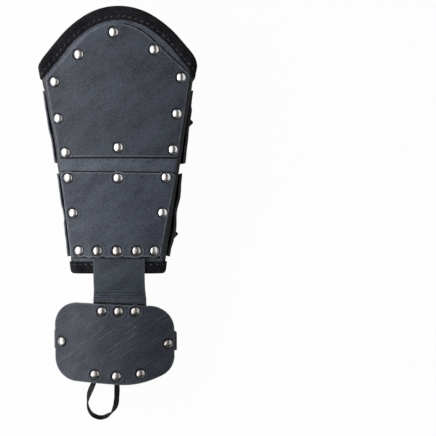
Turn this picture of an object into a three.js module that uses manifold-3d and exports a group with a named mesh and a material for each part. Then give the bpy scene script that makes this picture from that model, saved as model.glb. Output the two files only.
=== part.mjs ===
// Leather bracer lying on its back: a tapered forearm tube with riveted plates, closed by two buckled
// straps, with a hand plate that hangs on a strap below the wrist.
// Millimetres. +X to the right, +Y towards the elbow, +Z up from the surface that it lies on.

import * as THREE from "three";
import { mergeVertices } from "three/addons/utils/BufferGeometryUtils.js";
import Module from "manifold-3d";

const wasm = await Module();
wasm.setup();
const { lerp, smoothstep, degToRad } = THREE.MathUtils;

// Leather thicknesses and the clearance between neighbouring pieces
const clearance = 0.3;
const bodyThickness = 2.2;
const plateThickness = 2.2;
const strapThickness = 2;
const bindingThickness = 1.3;
const loopThickness = 1.3;

// Forearm tube: one row for each end, straight in between
const wristEnd = { y: -49.4, centre: -1.5, halfWidth: 42.2, front: 56, corner: 6.5, back: 16 };
const elbowEnd = { y: 191.5, centre: 0.17, halfWidth: 78.6, front: 88, corner: 8.5, back: 26 };
const crownShare = 0.11;
const wallLean = degToRad(10);
const backHeight = strapThickness + clearance;
const backOpeningHalf = 11;
const columnsPerLeg = [6, 4, 2, 4, 1];
const crownColumns = columnsPerLeg[0];
const wallColumn = columnsPerLeg[0] + columnsPerLeg[1];
const backColumn = wallColumn + columnsPerLeg[2];
const flatColumn = backColumn + columnsPerLeg[3];
const lastColumn = flatColumn + columnsPerLeg[4];

// Arched elbow rim: crest arc a little right of the middle, shoulder arcs, straight flanks, hollow arcs, level sides
const rim = {
  crest: 191.8,
  shift: 2.6,
  crestRadius: 62,
  crestTurn: degToRad(30),
  shoulderRadius: 100,
  flank: degToRad(47.5),
  side: 141,
  hollowRadius: 14,
};
const bindingWidth = { elbow: 12, wrist: 10.5 };

// Front plates, in plan
const upperPlate = [
  { x: -52.6, y: 58, radius: 4 },
  { x: 53.8, y: 58, radius: 4 },
  { x: 65.1, y: 132, radius: 4 },
  { x: -1.5, y: 192.2, radius: 43 },
  { x: -63.9, y: 127.4, radius: 4 },
];
const lowerPlate = [
  { x: -43, y: -33.5, radius: 3 },
  { x: 37.4, y: -33.5, radius: 3 },
  { x: 52, y: 42.8, radius: 3 },
  { x: -52, y: 44, radius: 3 },
];

// Side plates: extent along the arm, and how far the front edge stands off the wall
const sidePlates = [
  { level: "upper", top: 119.5, foot: 53.5, rivetY: 68, stand: { top: 0.35, middle: 0.8, foot: 1.6 } },
  { level: "lower", top: 43.5, foot: -34, rivetY: 22, stand: { top: 1.6, middle: 0.35, foot: 1.6 } },
];
const sidePlateFrontDepth = 5;
const sidePlateBackMargin = 3;
const sidePlateSeatDepth = 12;
const sidePlateSeat = strapThickness + 2 * clearance;
const sideRivetShare = 0.7;

// Closure straps across the back, with buckles at the right back corner
const closures = [
  { level: "upper", y: 95.5, tipX: 67.1 },
  { level: "lower", y: -13.4, tipX: 52.3 },
];
const closureWidth = 16;
const closurePoint = { length: 8, width: 1.2 };
const closureAnchorShare = 0.4;
const closureRise = { from: 6, bar: 12.5, height: 2.9, fallFrom: 14 };
const buckle = { wire: 1.8, barHeight: 1.3, pivotHeight: 8.6, side: 0.7, toothWidth: 1.6, toothTop: 5.4 };
const toothHole = 2.8;
const buckleTab = { width: 12, seat: 5.2, ringRadius: 3.8, boreRadius: 1.9 };

// Hand strap, hand plate and palm strap
const handStrap = { centre: 0.3, halfWidth: 23.7, top: -18, foot: -95, climbFrom: -20, climbTo: -36 };
const handStrapDrop = { from: -51, to: -76 };
const handPlate = { centre: -5.1, y: -78, underside: 52.8, slope: 0.07, radius: 125 };
const handOutline = [
  { x: -61.6, y: -148.8, radius: 22 },
  { x: 17.6, y: -154.5, radius: 75 },
  { x: 50.6, y: -140.4, radius: 20 },
  { x: 50.6, y: -80.6, radius: 23 },
  { x: -61.6, y: -75.6, radius: 21 },
];
const palmStrap = {
  centre: -5.3,
  y: -113.2,
  slant: 0.019,
  width: 17,
  overlap: 16,
  bend: 55.6,
  topRadius: 3.4,
  floorRadius: 9,
};

// Finger loop: route of the middle of the strip, with its roll from flat to on edge
const loopWidth = 5;
const loopLean = 0.7;
const loopRoute = [
  { x: -23.6, y: -146.2, z: 45.2, roll: 0 },
  { x: -24.8, y: -152, z: 44.5, roll: 0 },
  { x: -27.8, y: -158.8, z: 42.4, roll: 25 },
  { x: -30.3, y: -165.1, z: 38.8, roll: 60 },
  { x: -31.8, y: -171.6, z: 34.5, roll: 85 },
  { x: -31.8, y: -178.4, z: 28.5, roll: 90 },
  { x: -29.4, y: -185, z: 22.5, roll: 90 },
  { x: -25.1, y: -188.6, z: 18.8, roll: 90 },
  { x: -20.2, y: -189.5, z: 18, roll: 90 },
  { x: -14.8, y: -187.4, z: 20, roll: 90 },
  { x: -9.6, y: -183.4, z: 25, roll: 90 },
  { x: -5.9, y: -176.6, z: 31, roll: 80 },
  { x: -4.1, y: -169.3, z: 37, roll: 55 },
  { x: -3.2, y: -161, z: 42.2, roll: 20 },
  { x: -2.8, y: -153.6, z: 46, roll: 0 },
  { x: -2.8, y: -147.9, z: 46.8, roll: 0 },
];
const loopSteps = 24;
const loopSeat = loopThickness + 0.6;

// Rivets: domed cap, shank and a flat cap inside
const rivet = { capRadius: 4.5, capHeight: 2.2, shoulder: 3.2, shoulderHeight: 1.6, shank: 1.5, hole: 2.6 };
const rivetBack = { radius: 3.4, thickness: 0.8 };
const rivetSides = 8;
const holeSides = 4;
const upperRivets = [
  { x: -1.7, y: 168.1 },
  { x: -33.4, y: 148.9 },
  { x: 34.2, y: 153.2 },
  { x: -56, y: 125.2 },
  { x: 58.1, y: 129.1 },
  { x: -53.2, y: 92.4 },
  { x: 54.1, y: 96.7 },
  { x: -47.2, y: 61.7 },
  { x: 1.2, y: 66.1 },
  { x: 50.3, y: 64.4 },
];
const lowerRivets = [
  { x: -45.2, y: 38.6 },
  { x: 0.6, y: 38.3 },
  { x: 44, y: 39.2 },
  { x: -41.2, y: 6.5 },
  { x: 40.5, y: 6.9 },
  { x: -36, y: -28 },
  { x: -18.4, y: -28 },
  { x: -0.9, y: -28 },
  { x: 16.8, y: -28 },
  { x: 32.7, y: -28 },
];
const handRivets = [
  { x: -15.6, y: -84.6, under: strapThickness },
  { x: -0.4, y: -84.7, under: strapThickness },
  { x: 14.8, y: -84.7, under: strapThickness },
  { x: -54.5, y: -113.5, under: strapThickness },
  { x: 44.2, y: -116, under: strapThickness },
  { x: -22.6, y: -143.7, under: loopSeat },
  { x: -2.8, y: -145.4, under: loopSeat },
  { x: 19.4, y: -143.3, under: 0 },
];

// Colours and finishes
const slateLeather = { color: 0x4a4f58, roughness: 0.62, metalness: 0 };
const softLeather = { color: 0x43484f, roughness: 0.7, metalness: 0 };
const blackLeather = { color: 0x1f1f22, roughness: 0.7, metalness: 0 };
const blackSuede = { color: 0x26262a, roughness: 0.95, metalness: 0 };
const nickel = { color: 0xd2d4d6, roughness: 0.18, metalness: 1 };

// The tube's cross-section at y: crown arc, corner arc, side wall, back corner arc and back flat
function tubeSection(y) {
  const share = (y - wristEnd.y) / (elbowEnd.y - wristEnd.y);
  const at = (key) => lerp(wristEnd[key], elbowEnd[key], share);
  const halfWidth = at("halfWidth");
  const corner = at("corner");
  const back = at("back");
  const crownRadius = halfWidth / (2 * crownShare);
  const crownTurn = Math.asin((halfWidth - corner) / (crownRadius - corner));
  const cornerTurn = Math.PI / 2 + wallLean - crownTurn;
  const backTurn = Math.PI / 2 - wallLean;
  const cornerX = crownRadius * Math.sin(crownTurn) + corner * (Math.cos(wallLean) - Math.sin(crownTurn));
  const crownDrop = crownRadius * (1 - Math.cos(crownTurn));
  const cornerDrop = corner * (Math.cos(crownTurn) + Math.sin(wallLean));
  const backDrop = back * (1 - Math.sin(wallLean));
  const wall = (at("front") - crownDrop - cornerDrop - backDrop - backHeight) / Math.cos(wallLean);
  const flatEnd = cornerX - wall * Math.sin(wallLean) - back * Math.cos(wallLean);
  const legs = [
    { length: crownRadius * crownTurn, turn: crownTurn },
    { length: corner * cornerTurn, turn: cornerTurn },
    { length: wall, turn: 0 },
    { length: back * backTurn, turn: backTurn },
    { length: flatEnd - backOpeningHalf, turn: 0 },
  ];
  return { centre: at("centre"), front: at("front"), crownRadius, back, wall, flatEnd, legs };
}

// Point at a distance along the section from the middle of the front, lifted off the outer face
function onTube(arc, y, lift) {
  const section = tubeSection(y);
  let rest = Math.abs(arc);
  let x = 0;
  let z = section.front;
  let heading = 0;
  section.legs.forEach((leg, index) => {
    const run = index === section.legs.length - 1 ? rest : Math.min(rest, leg.length);
    if (leg.turn > 0) {
      const radius = leg.length / leg.turn;
      const next = heading + run / radius;
      x += radius * (Math.sin(next) - Math.sin(heading));
      z -= radius * (Math.cos(heading) - Math.cos(next));
      heading = next;
    } else {
      x += run * Math.cos(heading);
      z -= run * Math.sin(heading);
    }
    rest -= run;
  });
  const side = Math.sign(arc);
  x += lift * Math.sin(heading);
  z += lift * Math.cos(heading);
  return new THREE.Vector3(section.centre + side * x, y, z);
}

// Distance along the section of a lengthwise column of the tube
function columnArc(column, y) {
  let rest = Math.abs(column);
  let arc = 0;
  tubeSection(y).legs.forEach((leg, index) => {
    const used = Math.min(rest, columnsPerLeg[index]);
    arc += (leg.length * used) / columnsPerLeg[index];
    rest -= used;
  });
  return Math.sign(column) * arc;
}

function onColumn(column, y, lift) {
  return onTube(columnArc(column, y), y, lift);
}

// Point on the crowned front, by its place in plan
function onFront(x, y, lift) {
  const { centre, crownRadius } = tubeSection(y);
  return onTube(crownRadius * Math.asin((x - centre) / crownRadius), y, lift);
}

// Point on a side wall, by its depth behind the front corner
function onWall(side, depth, y, lift) {
  const { legs } = tubeSection(y);
  return onTube(side * (legs[0].length + legs[1].length + depth), y, lift);
}

// Point on the hand plate, by its place in plan, lifted off the underside
function onHand(x, y, lift) {
  const turn = Math.asin((x - handPlate.centre) / handPlate.radius);
  const reach = handPlate.radius + lift;
  const base = handPlate.underside + handPlate.slope * (y - handPlate.y) - handPlate.radius;
  return new THREE.Vector3(handPlate.centre + reach * Math.sin(turn), y, base + reach * Math.cos(turn));
}

// Height of the elbow rim over the unrolled section
function rimHeight(arc) {
  const { crest, shift, crestRadius, crestTurn, shoulderRadius, flank, side, hollowRadius } = rim;
  const reach = Math.abs(arc - shift);
  const crestEnd = crestRadius * Math.sin(crestTurn);
  const crestFoot = crest - crestRadius * (1 - Math.cos(crestTurn));
  const shoulderStart = shoulderRadius * Math.sin(crestTurn);
  const shoulderTop = shoulderRadius * Math.cos(crestTurn);
  const shoulderEnd = crestEnd + shoulderRadius * Math.sin(flank) - shoulderStart;
  const shoulderFoot = crestFoot + shoulderRadius * Math.cos(flank) - shoulderTop;
  const hollowTop = side + hollowRadius * (1 - Math.cos(flank));
  const flankEnd = shoulderEnd + (shoulderFoot - hollowTop) / Math.tan(flank);
  const hollowEnd = flankEnd + hollowRadius * Math.sin(flank);
  if (reach < crestEnd) {
    return crest - crestRadius + Math.sqrt(crestRadius ** 2 - reach ** 2);
  }
  if (reach < shoulderEnd) {
    const along = shoulderStart + reach - crestEnd;
    return crestFoot - shoulderTop + Math.sqrt(shoulderRadius ** 2 - along ** 2);
  }
  if (reach < flankEnd) {
    return shoulderFoot - (reach - shoulderEnd) * Math.tan(flank);
  }
  if (reach < hollowEnd) {
    return side + hollowRadius - Math.sqrt(hollowRadius ** 2 - (hollowEnd - reach) ** 2);
  }
  return side;
}

// Where a column meets the elbow rim, and how far the rim's slant stretches a width along that leaning column
function rimOfColumn(column) {
  let low = rim.side - bindingWidth.elbow;
  let high = rim.crest + bindingWidth.elbow;
  for (let round = 0; round < 40; round += 1) {
    const middle = (low + high) / 2;
    const above = middle > rimHeight(columnArc(column, middle));
    low = above ? low : middle;
    high = above ? middle : high;
  }
  const arc = columnArc(column, low);
  const step = 0.5;
  const slope = (rimHeight(arc + step) - rimHeight(arc - step)) / (2 * step);
  const columnSlant = (columnArc(column, low + step) - columnArc(column, low - step)) / (2 * step);
  return { y: low, stretch: Math.hypot(1, slope) / (1 - slope * columnSlant) };
}

// A box whose three directions are bent by a placing function
function bentBox(columns, rows, place) {
  const geometry = new THREE.BoxGeometry(1, 1, 1, columns, rows, 1);
  const position = geometry.attributes.position;
  for (let index = 0; index < position.count; index += 1) {
    const across = position.getX(index) + 0.5;
    const along = position.getY(index) + 0.5;
    const through = position.getZ(index) + 0.5;
    const point = place(across, along, through);
    position.setXYZ(index, point.x, point.y, point.z);
  }
  return geometry;
}

function toSolid(geometry) {
  const bare = geometry.clone();
  bare.deleteAttribute("normal");
  bare.deleteAttribute("uv");
  const merged = mergeVertices(bare, 1e-4);
  const vertProperties = new Float32Array(merged.attributes.position.array);
  const triVerts = new Uint32Array(merged.index.array);
  return new wasm.Manifold(new wasm.Mesh({ numProp: 3, vertProperties, triVerts }));
}

function toGeometry(solid) {
  const { vertProperties, triVerts } = solid.getMesh();
  const geometry = new THREE.BufferGeometry();
  geometry.setAttribute("position", new THREE.BufferAttribute(vertProperties, 3));
  geometry.setIndex(new THREE.BufferAttribute(triVerts, 1));
  return geometry;
}

// Closed outline whose corners are rounded by arcs; the corners run anticlockwise
function roundedOutline(corners) {
  const shape = new THREE.Shape();
  corners.forEach((corner, index) => {
    const here = new THREE.Vector2(corner.x, corner.y);
    const before = corners.at(index - 1);
    const after = corners[(index + 1) % corners.length];
    const back = new THREE.Vector2(before.x, before.y).sub(here).normalize();
    const ahead = new THREE.Vector2(after.x, after.y).sub(here).normalize();
    const halfAngle = Math.acos(back.dot(ahead)) / 2;
    const towards = back.clone().add(ahead).normalize();
    const centre = here.clone().addScaledVector(towards, corner.radius / Math.sin(halfAngle));
    const start = here.clone().addScaledVector(back, corner.radius / Math.tan(halfAngle)).sub(centre);
    const end = here.clone().addScaledVector(ahead, corner.radius / Math.tan(halfAngle)).sub(centre);
    shape.absarc(centre.x, centre.y, corner.radius, start.angle(), end.angle(), false);
  });
  return shape;
}

// A bent sheet trimmed to an outline in plan
function trimmed(sheet, shape, curveSegments) {
  const height = 2 * elbowEnd.front;
  const cutter = new THREE.ExtrudeGeometry(shape, { depth: height, bevelEnabled: false, curveSegments });
  return toSolid(sheet).intersect(toSolid(cutter));
}

// The place of a rivet on a surface: where its cap sits, the way it points, and what it clamps
function seatOn(surface, a, b, lift, grip) {
  const step = 0.2;
  const alongA = surface(a + step, b, lift).sub(surface(a - step, b, lift));
  const alongB = surface(a, b + step, lift).sub(surface(a, b - step, lift));
  const normal = alongA.cross(alongB).normalize();
  if (normal.dot(surface(a, b, lift + 1).sub(surface(a, b, lift))) < 0) {
    normal.negate();
  }
  return { position: surface(a, b, lift), normal, grip };
}

const upright = new THREE.Vector3(0, 1, 0);

function pierce(solid, seats) {
  return seats.reduce((left, seat) => {
    const reach = 2 * (seat.grip + rivet.capHeight);
    const punch = new THREE.CylinderGeometry(rivet.hole, rivet.hole, reach, holeSides);
    punch.applyQuaternion(new THREE.Quaternion().setFromUnitVectors(upright, seat.normal));
    punch.translate(seat.position.x, seat.position.y, seat.position.z);
    return left.subtract(toSolid(punch));
  }, solid);
}

function addMesh(parent, name, geometry, finish) {
  const mesh = new THREE.Mesh(geometry, new THREE.MeshStandardMaterial(finish));
  mesh.name = name;
  parent.add(mesh);
  return mesh;
}

function addRivets(parent, prefix, seats) {
  seats.forEach((seat, index) => {
    const inside = -seat.grip - clearance;
    const profile = [
      [0, inside - rivetBack.thickness],
      [rivetBack.radius, inside],
      [rivet.shank, inside],
      [rivet.shank, clearance],
      [rivet.capRadius, clearance],
      [rivet.shoulder, rivet.shoulderHeight],
      [0, rivet.capHeight],
    ].map(([radius, height]) => new THREE.Vector2(radius, height));
    const turned = new THREE.LatheGeometry(profile, rivetSides);
    const mesh = addMesh(parent, `${prefix}_${index + 1}`, turned, nickel);
    mesh.position.copy(seat.position);
    mesh.quaternion.setFromUnitVectors(upright, seat.normal);
  });
}

// How far the hand strap lies off the tube: on the body under the lower plate, over the binding at the rim
function strapClimb(y) {
  const overBinding = bindingThickness + 2 * clearance;
  return lerp(overBinding, clearance, smoothstep(y, handStrap.climbTo, handStrap.climbFrom));
}

// How far the lower plate's underside is off the tube, over the strap that it clamps and beside it
const strapRamp = { side: [1.3, 4.5], end: [2, 10] };
function lowerPlateSeat(x, y) {
  const beside = Math.abs(x - handStrap.centre) - handStrap.halfWidth;
  const beyond = y - handStrap.top;
  const sideShare = 1 - smoothstep(beside, ...strapRamp.side);
  const endShare = 1 - smoothstep(beyond, ...strapRamp.end);
  return clearance + sideShare * endShare * (strapClimb(y) + strapThickness);
}

// How far a side plate's underside is off the wall: its own front edge, and flat over the strap behind
function sidePlateStand(plate, depth, y) {
  const share = (plate.top - y) / (plate.top - plate.foot);
  const { top, middle, foot } = plate.stand;
  const bow = 4 * share * (1 - share);
  const edge = lerp(top, foot, share) + bow * (middle - (top + foot) / 2);
  return lerp(edge, sidePlateSeat, smoothstep(depth, sidePlateFrontDepth, sidePlateSeatDepth));
}

// A binding folded over a rim: outer leg, half-round nose, inner leg
const bindingRows = [
  { leg: 1, turn: 90 },
  { leg: 0, turn: 90 },
  { leg: 0, turn: 30 },
  { leg: 0, turn: -30 },
  { leg: 0, turn: -90 },
  { leg: 1, turn: -90 },
];
const noseRadius = bodyThickness / 2 + clearance + bindingThickness / 2;
const bodyInset = noseRadius + bindingThickness / 2;

function bindingPoint(rowShare, through, width) {
  const row = bindingRows[Math.round(rowShare * (bindingRows.length - 1))];
  const radius = noseRadius + (through - 0.5) * bindingThickness;
  const turn = degToRad(row.turn);
  const inset = Math.max(row.leg * width, bodyInset - radius * Math.cos(turn));
  return { inset, lift: radius * Math.sin(turn) - bodyThickness / 2 };
}

// Sub-parts

const bracer = new THREE.Group();
const frontRivetGrip = plateThickness + clearance + bodyThickness;
const plateTop = clearance + plateThickness;

const upperSeats = upperRivets.map(({ x, y }) => seatOn(onFront, x, y, plateTop, frontRivetGrip));

function onLowerPlate(x, y, lift) {
  return onFront(x, y, lowerPlateSeat(x, y) + lift);
}
const lowerSeats = lowerRivets.map(({ x, y }) => {
  const tiltRoom = lowerPlateSeat(x, y) > strapThickness ? clearance : 0;
  const grip = lowerPlateSeat(x, y) + plateThickness + bodyThickness + tiltRoom;
  return seatOn(onLowerPlate, x, y, plateThickness, grip);
});

const handSeats = handRivets.map(({ x, y, under }) => {
  const grip = plateThickness + (under > 0 ? under + clearance : 0);
  return seatOn(onHand, x, y, plateThickness, grip);
});

const sides = [
  { name: "left", sign: -1 },
  { name: "right", sign: 1 },
];
const sideSeats = sidePlates.flatMap((plate) => {
  const closure = closures.find(({ level }) => level === plate.level);
  return sides.map((side) => ({
    level: plate.level,
    side,
    seats: [plate.rivetY, closure.y].map((y) => {
      const depth = sideRivetShare * tubeSection(y).wall;
      const surface = (a, b, lift) => onWall(side.sign, a, b, lift);
      const grip = sidePlateSeat + plateThickness + bodyThickness;
      return seatOn(surface, depth, y, sidePlateSeat + plateThickness, grip);
    }),
  }));
});
const allSideSeats = sideSeats.flatMap(({ seats }) => seats);

function makeBody() {
  const foot = wristEnd.y + bodyInset;
  const sheet = bentBox(2 * lastColumn, 3, (across, along, through) => {
    const column = lerp(-lastColumn, lastColumn, across);
    const { y, stretch } = rimOfColumn(column);
    const top = y - bodyInset * stretch;
    return onColumn(column, lerp(foot, top, along), (through - 1) * bodyThickness);
  });
  const solid = pierce(toSolid(sheet), [...upperSeats, ...lowerSeats, ...allSideSeats]);
  addMesh(bracer, "body", toGeometry(solid), slateLeather);
}

function makeBindings() {
  const rows = bindingRows.length - 1;
  const top = bentBox(2 * lastColumn, rows, (across, along, through) => {
    const column = lerp(-lastColumn, lastColumn, across);
    const { y, stretch } = rimOfColumn(column);
    const { inset, lift } = bindingPoint(along, through, bindingWidth.elbow);
    return onColumn(column, y - inset * stretch, lift);
  });
  addMesh(bracer, "top_binding", top, blackSuede);
  const bottom = bentBox(2 * lastColumn, rows, (across, along, through) => {
    const column = lerp(-lastColumn, lastColumn, across);
    const { inset, lift } = bindingPoint(1 - along, through, bindingWidth.wrist);
    return onColumn(column, wristEnd.y + inset, lift);
  });
  addMesh(bracer, "bottom_binding", bottom, blackSuede);
}

function makeFrontPlates() {
  const reach = crownColumns + 1;
  const sheet = bentBox(2 * reach, 2, (across, along, through) => {
    const y = lerp(upperPlate[0].y - 1, rim.crest, along);
    return onColumn(lerp(-reach, reach, across), y, clearance + through * plateThickness);
  });
  const upper = pierce(trimmed(sheet, roundedOutline(upperPlate), 6), upperSeats);
  addMesh(bracer, "upper_plate", toGeometry(upper), slateLeather);

  const [footLeft, , , topLeft] = lowerPlate;
  const strapRows = [0, 0.5, 1].map((share) => handStrap.top + lerp(...strapRamp.end, share));
  const rivetRows = [-1, 0, 1].map((step) => lowerRivets[6].y + step * rivet.capRadius);
  const rows = [footLeft.y - 1, ...rivetRows, ...strapRows, topLeft.y + 1];
  const rampColumns = [0, 0.5, 1].map((share) => handStrap.halfWidth + lerp(...strapRamp.side, share));
  const innerColumns = [0, handStrap.halfWidth / 2, ...rampColumns];
  const outerColumns = 2;
  const lastInner = innerColumns.length - 1;
  const halfCount = lastInner + outerColumns + 1;
  const lowerSheet = bentBox(2 * halfCount, rows.length - 1, (across, along, through) => {
    const place = Math.round(lerp(-halfCount, halfCount, across));
    const side = Math.sign(place);
    const count = Math.abs(place);
    const y = rows[Math.round(along * (rows.length - 1))];
    if (count === halfCount) {
      return onColumn(side * reach, y, clearance + through * plateThickness);
    }
    const inner = handStrap.centre + side * innerColumns[Math.min(count, lastInner)];
    const crownX = onColumn(side * crownColumns, y, 0).x;
    const x = lerp(inner, crownX, Math.max(count - lastInner, 0) / outerColumns);
    return onLowerPlate(x, y, through * plateThickness);
  });
  const lower = pierce(trimmed(lowerSheet, roundedOutline(lowerPlate), 3), lowerSeats);
  addMesh(bracer, "lower_plate", toGeometry(lower), slateLeather);
}

function makeSidePlates() {
  for (const { level, side, seats } of sideSeats) {
    const plate = sidePlates.find((row) => row.level === level);
    const sheet = bentBox(4, 6, (across, along, through) => {
      const y = lerp(plate.foot, plate.top, along);
      const share = side.sign > 0 ? across : 1 - across;
      const depth = lerp(sidePlateFrontDepth, tubeSection(y).wall - sidePlateBackMargin, share);
      return onWall(side.sign, depth, y, sidePlateStand(plate, depth, y) + through * plateThickness);
    });
    const solid = pierce(toSolid(sheet), seats);
    addMesh(bracer, `side_plate_${level}_${side.name}`, toGeometry(solid), slateLeather);
  }
}

// Where a closure strap crosses its buckle, in the section plane of the strap
function buckleBars(closure) {
  const section = tubeSection(closure.y);
  const edge = tubeSection(closure.y + closureWidth / 2);
  const flatX = edge.centre + edge.flatEnd;
  const reach = section.back + buckleTab.seat;
  const turn = Math.acos((backHeight + section.back - buckle.pivotHeight) / reach);
  const pivotX = section.centre + section.flatEnd + reach * Math.sin(turn);
  const turnShare = (Math.PI / 2 - wallLean - turn) / (Math.PI / 2 - wallLean);
  const pivotColumn = backColumn + turnShare * columnsPerLeg[3];
  return { flatX, barX: flatX + closureRise.bar, pivotX, pivotColumn };
}

function makeClosure(closure) {
  const { level, y: middleY, tipX } = closure;
  const { flatX, barX, pivotX, pivotColumn } = buckleBars(closure);
  const anchorColumn = wallColumn + closureAnchorShare * columnsPerLeg[2];

  // Strap: hugs the left wall and back corner, runs flat, climbs over the bar and ends in a point
  const hugging = [anchorColumn, backColumn, backColumn + 1, backColumn + 2, backColumn + 3, flatColumn];
  const tipReach = tipX - flatX;
  const { from, bar, height, fallFrom } = closureRise;
  const climbing = [0, 0.25, 0.5, 0.75, 1].map((share) => lerp(from, bar, share));
  const falling = [0, 0.35, 0.7].map((share) => lerp(fallFrom, tipReach - closurePoint.length, share));
  const free = [...climbing, ...falling, tipReach - closurePoint.length, tipReach];
  const stations = hugging.length + free.length;
  const strapSheet = bentBox(stations - 1, 1, (across, along, through) => {
    const station = Math.round(across * (stations - 1));
    const width = station === stations - 1 ? closurePoint.width : closureWidth;
    const y = middleY + (along - 0.5) * width;
    if (station < hugging.length) {
      return onColumn(-hugging[station], y, clearance + (1 - through) * strapThickness);
    }
    const reach = free[station - hugging.length];
    const rise = smoothstep(reach, from, bar) * (1 - smoothstep(reach, fallFrom, tipReach));
    return new THREE.Vector3(flatX + reach, y, height * rise + through * strapThickness);
  });
  const hole = new THREE.BoxGeometry(toothHole, toothHole, 4 * strapThickness);
  hole.translate(barX, middleY, height + strapThickness / 2);
  const leftSeats = sideSeats.find((row) => row.level === level && row.side.sign < 0).seats;
  const strap = pierce(toSolid(strapSheet).subtract(toSolid(hole)), leftSeats);
  addMesh(bracer, `closure_strap_${level}`, toGeometry(strap), blackLeather);

  // Buckle: a plain wire frame from the bar to the pivot, with a fixed tooth through the strap
  const rise = buckle.pivotHeight - buckle.barHeight;
  const length = Math.hypot(pivotX - barX, rise);
  const innerHalf = closureWidth / 2 + buckle.side;
  const frame = new THREE.Shape();
  const outer = { back: -buckle.wire / 2, ahead: length + buckle.wire / 2, half: innerHalf + buckle.wire };
  frame.moveTo(outer.back, -outer.half);
  frame.lineTo(outer.ahead, -outer.half);
  frame.lineTo(outer.ahead, outer.half);
  frame.lineTo(outer.back, outer.half);
  const window = new THREE.Path();
  window.moveTo(buckle.wire / 2, -innerHalf);
  window.lineTo(buckle.wire / 2, innerHalf);
  window.lineTo(length - buckle.wire / 2, innerHalf);
  window.lineTo(length - buckle.wire / 2, -innerHalf);
  frame.holes.push(window);
  const ring = new THREE.ExtrudeGeometry(frame, { depth: buckle.wire, bevelEnabled: false });
  ring.translate(0, 0, -buckle.wire / 2);
  ring.rotateY(-Math.atan2(rise, pivotX - barX));
  ring.translate(barX, middleY, buckle.barHeight);
  const toothHeight = buckle.toothTop - buckle.barHeight;
  const tooth = new THREE.BoxGeometry(buckle.toothWidth, buckle.toothWidth, toothHeight);
  tooth.translate(barX, middleY, buckle.barHeight + toothHeight / 2);
  addMesh(bracer, `buckle_${level}`, toGeometry(toSolid(ring).add(toSolid(tooth))), nickel);

  // Tab: hugs the right wall from under the side plate and ends in a loop round the pivot bar
  const tabStations = [anchorColumn, backColumn, backColumn + 0.6, pivotColumn];
  const tabSheet = bentBox(tabStations.length - 1, 1, (across, along, through) => {
    const column = tabStations[Math.round(across * (tabStations.length - 1))];
    const y = middleY + (along - 0.5) * buckleTab.width;
    return onColumn(column, y, clearance + through * strapThickness);
  });
  const { width, ringRadius, boreRadius } = buckleTab;
  const loop = new THREE.CylinderGeometry(ringRadius, ringRadius, width, 12);
  const bore = new THREE.CylinderGeometry(boreRadius, boreRadius, 2 * width, 10);
  for (const round of [loop, bore]) {
    round.translate(pivotX, middleY, buckle.pivotHeight);
  }
  const rightSeats = sideSeats.find((row) => row.level === level && row.side.sign > 0).seats;
  const tab = pierce(toSolid(tabSheet).add(toSolid(loop)).subtract(toSolid(bore)), rightSeats);
  addMesh(bracer, `buckle_tab_${level}`, toGeometry(tab), blackLeather);
}

function makeHandStrap() {
  const { centre, halfWidth, top, foot } = handStrap;
  const sheet = bentBox(4, 14, (across, along, through) => {
    const x = lerp(centre - halfWidth, centre + halfWidth, across);
    const y = lerp(foot, top, along);
    const overWrist = onFront(x, y, 0).z + strapClimb(y);
    const underPlate = onHand(x, y, 0).z - clearance - strapThickness;
    const share = smoothstep(y, handStrapDrop.to, handStrapDrop.from);
    return new THREE.Vector3(x, y, lerp(underPlate, overWrist, share) + through * strapThickness);
  });
  const solid = pierce(toSolid(sheet), [...lowerSeats.slice(6, 9), ...handSeats.slice(0, 3)]);
  addMesh(bracer, "hand_strap", toGeometry(solid), softLeather);
}

function makeHandPlate() {
  const half = handOutline[2].x - handPlate.centre + 2;
  const sheet = bentBox(12, 1, (across, along, through) => {
    const x = handPlate.centre + lerp(-half, half, across);
    const y = lerp(handOutline[1].y - 1, handOutline[4].y + 1, along);
    return onHand(x, y, through * plateThickness);
  });
  const solid = pierce(trimmed(sheet, roundedOutline(handOutline), 6), handSeats);
  addMesh(bracer, "hand_plate", toGeometry(solid), slateLeather);
}

// Points along straight runs and arcs in the section plane, turning downwards as they go
function walk(start, heading, legs) {
  const points = [start.clone()];
  let way = heading;
  for (const { run = 0, radius = 0, turn = 0, steps = 1 } of legs) {
    for (let step = 0; step < steps; step += 1) {
      const next = way + turn / steps;
      const from = points.at(-1);
      const dx = radius * (Math.sin(next) - Math.sin(way)) + (run / steps) * Math.cos(way);
      const dz = radius * (Math.cos(next) - Math.cos(way)) - (run / steps) * Math.sin(way);
      points.push(new THREE.Vector2(from.x + dx, from.y + dz));
      way = next;
    }
  }
  return points;
}

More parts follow.
